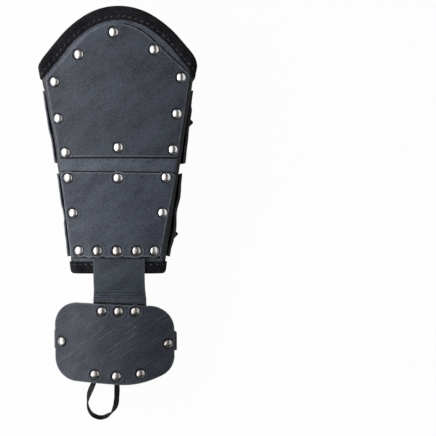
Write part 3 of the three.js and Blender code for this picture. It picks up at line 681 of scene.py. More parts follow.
def on_hand_plate(x, y, lift):
    turn = math.asin((x - HAND_PLATE["centre"]) / HAND_PLATE["radius"])
    reach = HAND_PLATE["radius"] + PLATE_THICK + lift
    base = HAND_PLATE["underside"] + HAND_PLATE["slope"] * (y - HAND_PLATE["y"]) - HAND_PLATE["radius"]
    return Vector((HAND_PLATE["centre"] + reach * math.sin(turn), y, base + reach * math.cos(turn)))


def seat(surface, a, b):
    step = 0.4
    along_a = surface(a + step, b, 0) - surface(a - step, b, 0)
    along_b = surface(a, b + step, 0) - surface(a, b - step, 0)
    up = along_a.cross(along_b).normalized()
    outward = surface(a, b, 1) - surface(a, b, 0)
    return surface(a, b, 0), up if up.dot(outward) > 0 else -up


rivet_seats = [seat(on_upper_plate, x, y) for x, y in UPPER_RIVETS]
rivet_seats += [seat(on_lower_plate, x, y) for x, y in LOWER_RIVETS]
rivet_seats += [seat(on_hand_plate, x, y) for x, y in HAND_RIVETS]
print("front rivets:", len(rivet_seats))

# %% [markdown]
# ## Dimples
# A rivet is hammered home, so the leather sinks under its cap and swells in a ring around it. Each dimple
# could be sculpted by hand. Here a search tree finds the rivet nearest to a point, and the distance gives
# the height, so a rivet that moves takes its dimple along.

# %% Dimples
CAP_RADIUS = 4.3
RING_SWELL, CAP_PRESS = 0.26, 0.75
rivet_tree = kdtree.KDTree(len(rivet_seats))
for index, (place, _) in enumerate(rivet_seats):
    rivet_tree.insert(place, index)
rivet_tree.balance()


def rivet_distance(point):
    return rivet_tree.find(point)[2]


def dimple(point):
    distance = rivet_distance(point)
    pressed = 1 - smooth(distance, CAP_RADIUS - 0.2, CAP_RADIUS + 1.6)
    swollen = math.exp(-((distance - CAP_RADIUS - 2.1) / 1.1) ** 2)
    return RING_SWELL * swollen - CAP_PRESS * pressed


def ripple(point, size, depth):
    return depth * noise.noise(Vector(point) / size)


print("dimple at a cap's edge:", round(dimple(rivet_seats[0][0] + Vector((CAP_RADIUS, 0, 0))), 2), "mm")

# %% [markdown]
# ## Plates with an outline
# The upper plate, the lower plate and the hand plate have round corners. Their outline is walked once at an
# even spacing, and smaller and smaller copies of it towards the middle fill the plate. The rings are close
# together near the edge, where the rivets are, and wide apart inside.

# %% Outline helpers
CORNER_STEPS = 32
EDGE_BAND = 1.8
RING_SCALES = spread(1.0, 0.7, 26) + spread(0.7, 0.04, 18)[1:]


def rounded_outline(corners, count):
    """Evenly spaced points on an outline with rounded corners; the corners run anticlockwise."""
    dense = []
    for index, (x, y, radius) in enumerate(corners):
        here = Vector((x, y))
        back = (Vector(corners[index - 1][:2]) - here).normalized()
        ahead = (Vector(corners[(index + 1) % len(corners)][:2]) - here).normalized()
        half = back.angle(ahead) / 2
        middle = here + (back + ahead).normalized() * radius / math.sin(half)
        start = here + back * radius / math.tan(half) - middle
        turn = math.pi - 2 * half
        for k in range(CORNER_STEPS + 1):
            spun = Matrix.Rotation(turn * k / CORNER_STEPS, 2) @ start
            dense.append(middle + spun)
    dense.append(dense[0])
    lengths = [(b - a).length for a, b in zip(dense, dense[1:])]
    total, points, walked, leg = sum(lengths), [], 0.0, 0
    for k in range(count):
        target = total * k / count
        while walked + lengths[leg] < target:
            walked += lengths[leg]
            leg += 1
        share = (target - walked) / lengths[leg] if lengths[leg] else 0.0
        points.append(dense[leg].lerp(dense[leg + 1], share))
    return points


def outline_piece(name, outline, middle, place):
    count = len(outline)
    points, edge = [], []
    for scale in RING_SCALES:
        for k, spot in enumerate(outline):
            flat = middle + (spot - middle) * scale
            tangent = (outline[(k + 1) % count] - outline[k - 1]).normalized()
            depth = (1 - scale) * abs((spot - middle).cross(tangent))
            points.append(place(flat.x, flat.y))
            edge.append(max(0.0, 1 - depth / EDGE_BAND))
    faces = []
    for ring in range(len(RING_SCALES) - 1):
        for k in range(count):
            ahead = (k + 1) % count
            low, high = ring * count, (ring + 1) * count
            faces.append((low + k, low + ahead, high + ahead, high + k))
    last = (len(RING_SCALES) - 1) * count
    points.append(place(middle.x, middle.y))
    edge.append(0.0)
    faces += [(last + k, last + (k + 1) % count, len(points) - 1) for k in range(count)]
    piece = new_piece(name, points, faces)
    # Towards the cut edge the plate is paler, for wear and a painted highlight; in a ring round each cap the
    # "pressed" mark paints shade.
    mark(piece, "edge", edge)
    cap_shade_ring = (CAP_RADIUS + 0.3, CAP_RADIUS + 1.2)
    mark(piece, "pressed", [1 - smooth(rivet_distance(point), *cap_shade_ring) for point in points])
    return piece


# %% [markdown]
# ## Upper plate
# The large plate on the forearm has straight sides and a rounded top. It could be cut from a grid with a
# Boolean, which leaves uneven faces at the edge. Its five corners and their radii give a clean outline
# instead, and the place on the tube adds the dimples and a slow ripple.

# %% Upper plate
UPPER_CORNERS = [(-52.6, 58, 4), (53.8, 58, 4), (65.1, 132, 4), (-1.5, 192.2, 43), (-63.9, 127.4, 4)]


def pressed_on(surface, swell):
    def place(x, y):
        point = surface(x, y, 0)
        return surface(x, y, dimple(point) + ripple(point, 26.0, swell))
    return place


upper_plate = outline_piece("upper_plate", rounded_outline(UPPER_CORNERS, 460), Vector((0.6, 112)),
                            pressed_on(on_upper_plate, 0.35))
thicken(upper_plate, PLATE_THICK, 0.75)
finish(upper_plate, ["upper_plate"], "slate_leather", slate_leather, raw_edge)

# %% [markdown]
# ## Lower plate
# The lower plate lies over the top of the hand strap and is lifted by it. Its foot was cut by hand and
# waves a little. Bending the outline before the plate is filled keeps the faces even, which a cut
# afterwards wouldn't.

# %% Lower plate
LOWER_CORNERS = [(-43, -33.5, 3), (37.4, -33.5, 3), (52, 42.8, 3), (-52, 44, 3)]


def wavy_foot(spot):
    at_foot = 1 - smooth(spot.y, -33.3, -30)
    wave = 0.5 * math.sin(spot.x / 2.9 + 0.6) + 0.3 * math.sin(spot.x / 1.3)
    return Vector((spot.x, spot.y + at_foot * wave))


lower_outline = [wavy_foot(spot) for spot in rounded_outline(LOWER_CORNERS, 420)]
lower_plate = outline_piece("lower_plate", lower_outline, Vector((-1.5, 5)), pressed_on(on_lower_plate, 0.35))
thicken(lower_plate, PLATE_THICK, 0.75)
finish(lower_plate, ["lower_plate"], "slate_leather", lower_leather, raw_edge)

# %% [markdown]
# ## Hand plate
# This plate covers the back of the hand, bent over a large cylinder that slopes down to the fingers. A
# Simple Deform would bend a flat plate, but the outline is known as seen from above. So the outline is
# drawn in by the small share by which the outer face is wider than the underside.

# %% Hand plate
HAND_CORNERS = [(-61.6, -148.8, 22), (17.6, -154.5, 75), (50.6, -140.4, 20), (50.6, -80.6, 23),
                (-61.6, -75.6, 21)]


def hand_plan(spot):
    """The outline is cut in plan, and the outer face lies further out than the underside that carries x."""
    share = HAND_PLATE["radius"] / (HAND_PLATE["radius"] + PLATE_THICK)
    return Vector((lerp(HAND_PLATE["centre"], spot.x, share), spot.y))


hand_outline = [hand_plan(spot) for spot in rounded_outline(HAND_CORNERS, 440)]
hand_plate = outline_piece("hand_plate", hand_outline, Vector((-5, -114)), pressed_on(on_hand_plate, 0.5))
thicken(hand_plate, PLATE_THICK, 0.8)
finish(hand_plate, ["hand_plate"], "slate_leather", hand_leather, raw_edge)

# %% [markdown]
# ## The tube and its bindings
# The body is one sheet wrapped round the section, from the wrist to the arched elbow rim. The bindings are
# strips of suede folded over those rims: an outer leg, a round nose and an inner leg. Thread holds them, and
# every stitch pulls the suede down a little, so the stitches are placed before the bindings are shaped.

# %% The elbow rim
RIM = {"crest": 191.8, "shift": 2.6, "crest_radius": 62.0, "crest_turn": math.radians(30),
       "shoulder_radius": 100.0, "flank": math.radians(47.5), "side": 141.0, "hollow_radius": 14.0}
RIM_LOW, RIM_HIGH, HALVINGS = 110.0, 205.0, 40


def rim_height(arc):
    """Height of the rim over the unrolled tube: crest, shoulder, straight flank, hollow and level side."""
    reach = abs(arc - RIM["shift"])
    crest, radius, turn = RIM["crest"], RIM["crest_radius"], RIM["crest_turn"]
    shoulder, flank, hollow = RIM["shoulder_radius"], RIM["flank"], RIM["hollow_radius"]
    crest_end = radius * math.sin(turn)
    crest_foot = crest - radius * (1 - math.cos(turn))
    shoulder_end = crest_end + shoulder * (math.sin(flank) - math.sin(turn))
    shoulder_foot = crest_foot - shoulder * (math.cos(turn) - math.cos(flank))
    hollow_top = RIM["side"] + hollow * (1 - math.cos(flank))
    flank_end = shoulder_end + (shoulder_foot - hollow_top) / math.tan(flank)
    hollow_end = flank_end + hollow * math.sin(flank)
    if reach < crest_end:
        return crest - radius + math.sqrt(radius ** 2 - reach ** 2)
    if reach < shoulder_end:
        along = shoulder * math.sin(turn) + reach - crest_end
        return crest_foot - shoulder * math.cos(turn) + math.sqrt(shoulder ** 2 - along ** 2)
    if reach < flank_end:
        return shoulder_foot - (reach - shoulder_end) * math.tan(flank)
    if reach < hollow_end:
        return RIM["side"] + hollow - math.sqrt(hollow ** 2 - (hollow_end - reach) ** 2)
    return RIM["side"]


@lru_cache(maxsize=None)
def rim_of_column(column):
    """Height of the rim on a column, found by halving, and how much longer an inset is along the column."""
    low, high = RIM_LOW, RIM_HIGH
    for _ in range(HALVINGS):
        middle = (low + high) / 2
        if middle > rim_height(column_arc(column, middle)):
            high = middle
        else:
            low = middle
    arc = column_arc(column, low)
    slope = rim_height(arc + 0.5) - rim_height(arc - 0.5)
    slant = column_arc(column, low + 0.5) - column_arc(column, low - 0.5)
    return low, math.hypot(1, slope) / (1 - slope * slant)


NOSE_RADIUS = BODY_THICK / 2 + CLEARANCE + BINDING_THICK / 2
BODY_INSET = NOSE_RADIUS + BINDING_THICK / 2
half_columns = spread(0, 6, 25) + spread(6, 10, 13)[1:] + spread(10, 12, 9)[1:]
half_columns += spread(12, 16, 17)[1:] + [16.5, 17]
columns = [-c for c in reversed(half_columns[1:])] + half_columns
print("rim: crest at", RIM["crest"], "mm, sides at", RIM["side"], "mm,", len(columns), "columns")

# %% [markdown]
# ## Body
# The tube is one sheet, with a column for each place round the section and a row for each height, and its
# top row follows the elbow rim. A lofted curve would not keep its rows square to the arm. Behind the left
# side plates the wall is drawn in a little, as soft leather is, and shade is painted into the folds beside
# the side plates on both sides, with a brownish painted tint of light along the left corner.

# %% Body
BODY_ROWS = 70
WALL_PULL, GAP_PULL = 1.4, 1.2
LEFT_CORNER_TINT = -6.9


def body_place(column, share):
    """The left wall is drawn in a little behind its side plates, which leaves a gap in shade that is also
    painted dark.
    """
    top, stretch = rim_of_column(column)
    y = lerp(WRIST["y"] + BODY_INSET, top - BODY_INSET * stretch, share)
    point = on_column(column, y, 0)
    behind_plates = smooth(y, -36, -26) * (1 - smooth(y, 112, 124))
    beside_lower = smooth(y, -36, -28) * (1 - smooth(y, 38, 43))
    beside_upper = smooth(y, 54, 59) * (1 - smooth(y, 80, 100))
    pull = WALL_PULL * behind_plates + GAP_PULL * (beside_lower + beside_upper)
    drawn_in = pull * smooth(-column, 6.6, 8.6) * (1 - smooth(-column, 10, 11.2))
    return on_column(column, y, ripple(point, 30.0, 0.25) - 0.1 - drawn_in)


body = grid_piece("body", columns, spread(0, 1, BODY_ROWS), body_place)
# Along the left corner only, the edge tone paints a brownish band, a tint of the light there.
mark(body, "edge", [math.exp(-((column - LEFT_CORNER_TINT) / 0.8) ** 2) for column in columns] * BODY_ROWS)


def painted_fold_shade(column):
    """Painted shade in the fold beside the side plates, on the left and on the right."""
    in_fold = 1 - smooth(abs(column), 9.4, 10.4)
    return in_fold * max(smooth(-column, 7.4, 8.1), 0.9 * smooth(column, 6.3, 7.8))


# The "pressed" mark paints shade into the folds beside the side plates.
mark(body, "pressed", [painted_fold_shade(column) for column in columns] * BODY_ROWS)
thicken(body, BODY_THICK - 0.2, 0.5)
finish(body, ["body"], "slate_leather", body_leather, raw_edge)

# %% [markdown]
# ## Where the stitches sit
# A saddle stitch runs along each binding, a little uneven, as hand sewing is. An Array along a curve would
# set the stitches evenly. Walking the rim by a pitch that a smooth noise changes gives each stitch its own
# length, slant and depth. The noise has a fixed seed, so every run sews the same row.

# %% Stitch places
STITCH_PITCH, STITCH_LIFT, STITCH_SLANT = 5.6, 1.6, 0.45
END_MARGIN, WALK_STEPS = 0.2, 1400
ELBOW_BINDING = {"width": 12.3, "stitch": 9.4}
WRIST_BINDING = {"width": 11.0, "stitch": 8.6}


def top_rim(column, inset, lift):
    y, stretch = rim_of_column(column)
    return on_column(column, y - inset * stretch, lift)


def wrist_rim(column, inset, lift):
    return on_column(column, WRIST["y"] + inset, lift)


def stitch_line(rim, inset, lift, slant):
    """Stitches at an even pitch along a rim: middle, the way it runs and the way it faces."""
    fine = spread(-LAST_COLUMN + END_MARGIN, LAST_COLUMN - END_MARGIN, WALK_STEPS)
    walk = [rim(column, inset, lift) for column in fine]
    stitches, gone, pitch = [], STITCH_PITCH / 2, STITCH_PITCH
    for k in range(1, len(walk) - 1):
        gone += (walk[k] - walk[k - 1]).length
        if gone >= pitch:
            gone = 0.0
            along = (walk[k + 1] - walk[k - 1]).normalized()
            up = (rim(fine[k], inset, lift + 1) - walk[k]).normalized()
            sideways = up.cross(along)
            hand = noise.noise_vector(walk[k] * 0.61)
            pitch = STITCH_PITCH * (1 + 0.25 * hand.x)
            place = walk[k] + sideways * 0.5 * hand.y - up * (0.15 + 0.3 * abs(hand.z))
            stitches.append((place, (along + (slant + 0.5 * hand.z) * sideways).normalized(), up))
    return stitches


top_stitches = stitch_line(top_rim, ELBOW_BINDING["stitch"], STITCH_LIFT, STITCH_SLANT)
wrist_stitches = stitch_line(wrist_rim, WRIST_BINDING["stitch"], STITCH_LIFT, -STITCH_SLANT)
stitch_tree = kdtree.KDTree(len(top_stitches) + len(wrist_stitches))
for index, (place, _, _) in enumerate(top_stitches + wrist_stitches):
    stitch_tree.insert(place, index)
stitch_tree.balance()
print("stitches:", len(top_stitches), "on the elbow rim,", len(wrist_stitches), "on the wrist rim")

# %% [markdown]
# ## Bindings
# The fold is a short profile of insets and lifts, swept along the rim column by column. A bevelled curve
# would sweep it too, but its edges couldn't be ragged, and the suede couldn't be pulled down at each
# stitch.

# %% Bindings
LEG_LIFT = NOSE_RADIUS - BODY_THICK / 2
OUTER_ROWS, INNER_ROWS = 14, 8


def binding_profile(width, rag):
    """Middle of the strip from its outer edge over the nose to its inner edge: inset and lift."""
    edge = width + rag
    outer = [(inset, LEG_LIFT) for inset in spread(edge, BODY_INSET, OUTER_ROWS)]
    nose = []
    for turn in range(75, -76, -15):
        angle = math.radians(turn)
        inset = BODY_INSET - NOSE_RADIUS * math.cos(angle)
        nose.append((inset, NOSE_RADIUS * math.sin(angle) - BODY_THICK / 2))
    inner = [(inset, -LEG_LIFT - BODY_THICK) for inset in spread(BODY_INSET, width, INNER_ROWS)]
    return outer + nose + inner


PROFILE_ROWS = len(binding_profile(ELBOW_BINDING["width"], 0.0))


def binding_place(rim, width):
    def place(column, row):
        rag = 0.45 * noise.noise(Vector((column * 3.1, 0, 0)))
        rag += 0.35 * noise.noise(Vector((column * 11, 5, 0)))
        inset, lift = binding_profile(width, rag)[row]
        point = rim(column, inset, lift + BINDING_THICK / 2)
        pulled = 0.55 * math.exp(-(stitch_tree.find(point)[2] / 1.5) ** 2)
        puffed = 0.25 * math.sin(math.pi * min(max(inset - 1, 0) / 8.0, 1)) if row < OUTER_ROWS else 0.0
        thinned = 0.3 if row == 0 else 0.0
        return rim(column, inset, lift + puffed - pulled - thinned + ripple(point, 5.0, 0.12))
    return place


def make_binding(name, rim, width, across, flip):
    piece = grid_piece(name, across, range(PROFILE_ROWS), binding_place(rim, width))
    if flip:
        piece.data.flip_normals()
    thicken(piece, BINDING_THICK, 0.35, 0.0)
    return finish(piece, [name], "black_suede", black_suede, black_suede)


def fine_columns(step):
    half = [k * step for k in range(int(LAST_COLUMN / step) + 1)]
    if half[-1] < LAST_COLUMN:
        half.append(LAST_COLUMN)
    return [-c for c in reversed(half[1:])] + half


make_binding("top_binding", top_rim, ELBOW_BINDING["width"], fine_columns(0.085), False)
make_binding("bottom_binding", wrist_rim, WRIST_BINDING["width"], fine_columns(0.11), True)

# %% [markdown]
# ## Side plates
# A plate lies on each side wall, above and below, and shows from the front only as a pale raw edge that
# stands a little off the wall. The plate follows the wall with a stand-off that bows along its length.

# %% Side plates
SIDE_PLATES = [
    {"level": "upper", "top": 119.5, "foot": 53.5, "rivet_y": 68.0, "strap_y": 95.5,
     "left": [(53.5, 2.0), (74, 1.7), (86, 2.6), (105, 2.6), (119.5, 2.3)],
     "right": [(53.5, 4.3), (71, 3.5), (88, 2.7), (102, 2.6), (107, 1.3), (119.5, 0.8)]},
    {"level": "lower", "top": 43.5, "foot": -34.0, "rivet_y": 22.0, "strap_y": -13.4,
     "left": [(-34, 4.0), (-15, 3.2), (-4.5, 2.6), (6, 0.8), (14, 2.0), (30, 1.8), (43.5, 1.2)],
     "right": [(-34, 3.0), (-27, 3.1), (-19, 4.2), (-9, 5.0), (8, 3.2), (21.6, 4.4), (37, 3.1), (43.5, 2.8)]},
]
SIDE_FRONT, SIDE_SEAT_DEPTH, SIDE_MARGIN = 5.0, 12.0, 3.0
SIDE_ACROSS, SIDE_ALONG = 26, 60
SIDE_THICK = {"left": 1.4, "right": PLATE_THICK}
SIDES = (("left", -1), ("right", 1))


def along_table(table, y):
    for (low, first), (high, second) in zip(table, table[1:]):
        if y <= high:
            return lerp(first, second, smooth(y, low, high))
    return table[-1][1]


def side_stand(plate, side_name, depth, y):
    """How far the plate's inner face is off the wall; the front edge leans in until it is upright."""
    stand = along_table(plate[side_name], y)
    edge = max(CLEARANCE, stand - 1.2)
    if side_name == "right":
        wall = tube_section(y)["wall"]
        beside_tab = smooth(abs(y - plate["strap_y"]), 8.2, 9.2)
        stand = lerp(stand, CLEARANCE, smooth(depth, wall - 14, wall - 4) * beside_tab)
    return lerp(edge, stand, smooth(depth, SIDE_FRONT, SIDE_SEAT_DEPTH))


def make_side_plate(plate, side_name, side):
    def place(share, y):
        depth = lerp(SIDE_FRONT, tube_section(y)["wall"] - SIDE_MARGIN, share if side > 0 else 1 - share)
        lift = side_stand(plate, side_name, depth, y) + PLATE_THICK
        return on_wall(side, depth, y, lift + ripple(on_wall(side, depth, y, 0), 14.0, 0.2))

    name = f"side_plate_{plate['level']}_{side_name}"
    along = spread(plate["foot"], plate["top"], SIDE_ALONG)
    piece = grid_piece(name, spread(0, 1, SIDE_ACROSS), along, place)
    # The plate's edges turn paler, for wear and a painted highlight.
    edge = []
    for v in range(SIDE_ALONG):
        for u in range(SIDE_ACROSS):
            edge.append(max(0.0, 1 - min(u, SIDE_ACROSS - 1 - u, v, SIDE_ALONG - 1 - v) / 4))
    mark(piece, "edge", edge)
    # The right side plates are painted dark all over, as the shade they lie in.
    mark(piece, "pressed", [0.8 if side > 0 else 0.0] * len(edge))
    thicken(piece, SIDE_THICK[side_name], 0.4)
    return finish(piece, [name], "slate_leather", slate_leather, raw_edge)


for plate in SIDE_PLATES:
    for side_name, side in SIDES:
        make_side_plate(plate, side_name, side)

# %% [markdown]
# ## Straps
# The hand strap runs from under the lower plate to under the hand plate and is creased where it bends. The
# palm strap goes round under the hand. Two black straps close the back; they hug the left wall, run flat and
# climb through a buckle at the right. All of them are sheets laid along a path.

# %% Hand strap
FLARE = 0.9
CREASE_Y, CREASE_REACH, CREASE_DEPTH = -71, 8.5, 1.15


def hand_strap_place(share, y):
    x = lerp(HAND_STRAP["centre"] - HAND_STRAP["half"], HAND_STRAP["centre"] + HAND_STRAP["half"], share)
    flare = FLARE * smooth(-y, 62, 76) * (share - 0.5) * 2
    over = on_front(x, y, 0).z + strap_climb(y)
    under = on_hand_plate(x, y, -PLATE_THICK).z - CLEARANCE - STRAP_THICK
    z = lerp(under, over, smooth(y, -76, -51)) + STRAP_THICK
    bent = math.exp(-((y - CREASE_Y) / CREASE_REACH) ** 2)
    wave = math.sin(y * 2.6 + 2.6 * noise.noise(Vector((x / 14, y / 7, 3))))
    uneven = 0.6 + 0.9 * noise.noise(Vector((x / 11, y / 3, 8)))
    fold = -CREASE_DEPTH * bent * max(0.0, wave) ** 3 * max(0.0, uneven)
    return Vector((x + flare, y, z + fold + ripple((x, y, 0), 9.0, 0.15)))


STRAP_ACROSS, STRAP_ALONG = 60, 190
strap_run = spread(HAND_STRAP["foot"], HAND_STRAP["top"], STRAP_ALONG)
hand_strap = grid_piece("hand_strap", spread(0, 1, STRAP_ACROSS), strap_run, hand_strap_place)
mark_sides(hand_strap, STRAP_ACROSS, STRAP_ALONG, 2.5)
thicken(hand_strap, STRAP_THICK, 0.5)
finish(hand_strap, ["hand_strap"], "soft_leather", strap_leather, raw_edge)

# %% [markdown]
# ## Palm strap
# The palm strap is one flat band that turns down at both sides of the hand plate and runs under the hand. A
# Bezier curve would need its handles tuned. Walking straight runs and arcs bends it as a real strap is
# bent.

# %% Palm strap
PALM = {"centre": -5.3, "y": -113.2, "slant": 0.019, "width": 17.0, "overlap": 16.0, "bend": 55.6,
        "top_radius": 3.4, "floor_radius": 9.0}


def walk_legs(start, heading, legs):
    """Points along straight runs and arcs in the section plane, turning downwards as they go."""
    points, way = [Vector(start)], heading
    for run, radius, turn, steps in legs:
        for _ in range(steps):
            ahead = way + turn / steps
            dx = radius * (math.sin(ahead) - math.sin(way)) + run / steps * math.cos(way)
            dz = radius * (math.cos(ahead) - math.cos(way)) - run / steps * math.sin(way)
            points.append(points[-1] + Vector((dx, dz)))
            way = ahead
    return points


def palm_path():
    radius = HAND_PLATE["radius"] - CLEARANCE - STRAP_THICK / 2
    bend_turn = math.asin(PALM["bend"] / HAND_PLATE["radius"])
    start_turn = bend_turn - PALM["overlap"] / HAND_PLATE["radius"]
    base = on_hand_plate(HAND_PLATE["centre"], PALM["y"], -PLATE_THICK - HAND_PLATE["radius"]).z
    start = (radius * math.sin(start_turn), base + radius * math.cos(start_turn))
    drop_way = math.pi / 2 + WALL_LEAN
    upper = [(0, radius, bend_turn - start_turn, 8), (0, PALM["top_radius"], drop_way - bend_turn, 12)]
    drop_top = walk_legs(start, start_turn, upper)[-1].y
    floor_drop = PALM["floor_radius"] * (1 - math.sin(WALL_LEAN))
    drop = (drop_top - floor_drop - STRAP_THICK / 2) / math.cos(WALL_LEAN)
    lower = [(drop, 0, 0, 12), (0, PALM["floor_radius"], math.pi - drop_way, 12)]
    right = walk_legs(start, start_turn, upper + lower)
    left = [Vector((-p.x, p.y)) for p in right]
    gap = spread(left[-1].x, right[-1].x, 24)[1:-1]
    return left + [Vector((x, right[-1].y)) for x in gap] + right[::-1], start[1]


palm_points, palm_top = palm_path()


def palm_place(across, station):
    y = (across - 0.5) * PALM["width"]
    spot = palm_points[station]
    tilt = HAND_PLATE["slope"] * y * smooth(spot.y, 2 * PALM["floor_radius"], palm_top)
    return Vector((PALM["centre"] + spot.x, PALM["y"] + y - PALM["slant"] * spot.x, spot.y + tilt))


BAND_ACROSS = 12
palm_strap = grid_piece("palm_strap", spread(0, 1, BAND_ACROSS), range(len(palm_points)), palm_place)
mark_sides(palm_strap, BAND_ACROSS, len(palm_points), 2)
thicken(palm_strap, STRAP_THICK, 0.5, 0.0)
finish(palm_strap, ["palm_strap"], "soft_leather", strap_leather, raw_edge)

# %% [markdown]
# ## Closure straps
# Two straps close the tube at the back. Each hugs the left wall, runs flat below and rises through its
# buckle to a cut point. They could be two meshes, but only the height and the length differ, so one
# function makes both.

# %% Closure straps
CLOSURES = [{"level": "upper", "y": 95.5, "tip": 67.1}, {"level": "lower", "y": -13.4, "tip": 52.3}]
CLOSURE_WIDTH, POINT_LENGTH, POINT_WIDTH, POINT_CURVE = 16.0, 8.0, 1.2, 1.15
RISE_FROM, RISE_BAR, RISE_HEIGHT, FALL_FROM = 6.0, 12.5, 2.9, 14.0
ANCHOR_COLUMN = WALL_COLUMN + 0.8


def closure_start(closure):
    edge = tube_section(closure["y"] + CLOSURE_WIDTH / 2)
    return edge["centre"] + edge["flat_end"]


def make_closure_strap(closure):
    flat = closure_start(closure)
    tip = closure["tip"] - flat
    hugging = spread(ANCHOR_COLUMN, FLAT_COLUMN, 40)
    run = spread(0.0, tip, 34)
    stations = [("hug", column) for column in hugging]
    stations += [("run", k / 20) for k in range(1, 20)]
    stations += [("free", reach) for reach in run]

    def place(across, station):
        kind, value = stations[station]
        width = CLOSURE_WIDTH
        if kind == "free" and value > tip - POINT_LENGTH:
            gone = (value - tip + POINT_LENGTH) / POINT_LENGTH
            width = lerp(CLOSURE_WIDTH, POINT_WIDTH, gone ** POINT_CURVE)
        y = closure["y"] + (across - 0.5) * width
        if kind == "hug":
            return on_column(-value, y, CLEARANCE + STRAP_THICK / 2)
        if kind == "run":
            return Vector((lerp(on_column(-FLAT_COLUMN, y, 0).x, flat, value), y, STRAP_THICK / 2))
        rise = smooth(value, RISE_FROM, RISE_BAR) * (1 - smooth(value, FALL_FROM, tip))
        return Vector((flat + value, y, RISE_HEIGHT * rise + STRAP_THICK / 2))

    name = f"closure_strap_{closure['level']}"
    piece = grid_piece(name, spread(0, 1, BAND_ACROSS), range(len(stations)), place)
    mark_sides(piece, BAND_ACROSS, len(stations), 2)
    thicken(piece, STRAP_THICK, 0.4, 0.0)
    return finish(piece, [name], "black_leather", black_leather, black_edge)


for closure in CLOSURES:
    make_closure_strap(closure)

# %% [markdown]
# ## Finger loop
# The loop is a narrow flat thong. Its two ends are riveted under the hand plate, it twists on to its edge and
# hangs out below. A smooth curve goes through a short table of places, and the strip rolls as it goes.

# %% Finger loop
LOOP_WIDTH, LOOP_THICK, LOOP_LEAN = 5.0, 1.3, 0.7
LOOP_ROUTE = [
    (-23.6, -146.2, 45.2, 0), (-24.8, -152, 44.5, 0), (-27.8, -158.8, 42.4, 25), (-30.3, -165.1, 38.8, 60),
    (-31.8, -171.6, 34.5, 85), (-31.8, -178.4, 28.5, 90), (-29.4, -185, 22.5, 90), (-25.1, -188.6, 18.8, 90),
    (-20.2, -189.5, 18, 90), (-14.8, -187.4, 20, 90), (-9.6, -183.4, 25, 62), (-5.9, -176.6, 31, 30),
    (-4.1, -169.3, 37, 14), (-3.2, -161, 42.2, 5), (-2.8, -153.6, 46, 0), (-2.8, -147.9, 46.8, 0),
]


def loop_at(t):
    """Place, direction and roll of the loop at t, counted in table rows."""
    row = min(int(t), len(LOOP_ROUTE) - 2)
    near = [LOOP_ROUTE[min(max(row + k, 0), len(LOOP_ROUTE) - 1)] for k in (-1, 0, 1, 2)]
    a, b, c, d = (Vector(entry[:3]) for entry in near)
    s = t - row
    bend = 2 * a - 5 * b + 4 * c - d
    twist = 3 * b - a - 3 * c + d
    place = 0.5 * (2 * b + (c - a) * s + bend * s * s + twist * s ** 3)
    way = 0.5 * ((c - a) + 2 * bend * s + 3 * twist * s * s)
    return place, way.normalized(), math.radians(lerp(near[1][3], near[2][3], s))


def loop_place(across, t):
    place, way, roll = loop_at(t)
    facing = Vector((0, -LOOP_LEAN * math.sin(roll), 1))
    facing = (facing - way * facing.dot(way)).normalized()
    broad = facing.cross(way) * math.cos(roll) + facing * math.sin(roll)
    return place + broad * (across - 0.5) * (LOOP_WIDTH + ripple((t, 0, 0), 0.8, 0.5))


LOOP_ACROSS, LOOP_ALONG = 8, 160
loop_steps = spread(0, len(LOOP_ROUTE) - 1, LOOP_ALONG)
finger_loop = grid_piece("finger_loop", spread(0, 1, LOOP_ACROSS), loop_steps, loop_place)
mark_sides(finger_loop, LOOP_ACROSS, LOOP_ALONG, 1)
thicken(finger_loop, LOOP_THICK, 0.3, 0.0)
finish(finger_loop, ["finger_loop"], "black_leather", black_leather, black_edge)

# %% [markdown]
# ## Rivets and stitches by Geometry Nodes
# Rivets and stitches repeat, so a node tree puts one small shape on every place. The places are points that
# carry the way to face as an attribute. The tree ends in Realize Instances and Set Material, and its result
# is made a plain mesh, because instances would not be exported. Copies made in a loop would do as well, but
# the tree also dents each cap by a noise that runs over all of them.

# %% Tree helpers
def places_object(name, seats):
    piece = new_piece(name, [entry[0] for entry in seats], [])
    for label, column in (("along", 1), ("up", -1)):
        attribute = piece.data.attributes.new(label, "FLOAT_VECTOR", "POINT")
        attribute.data.foreach_set("vector", [v for entry in seats for v in entry[column]])
    return piece


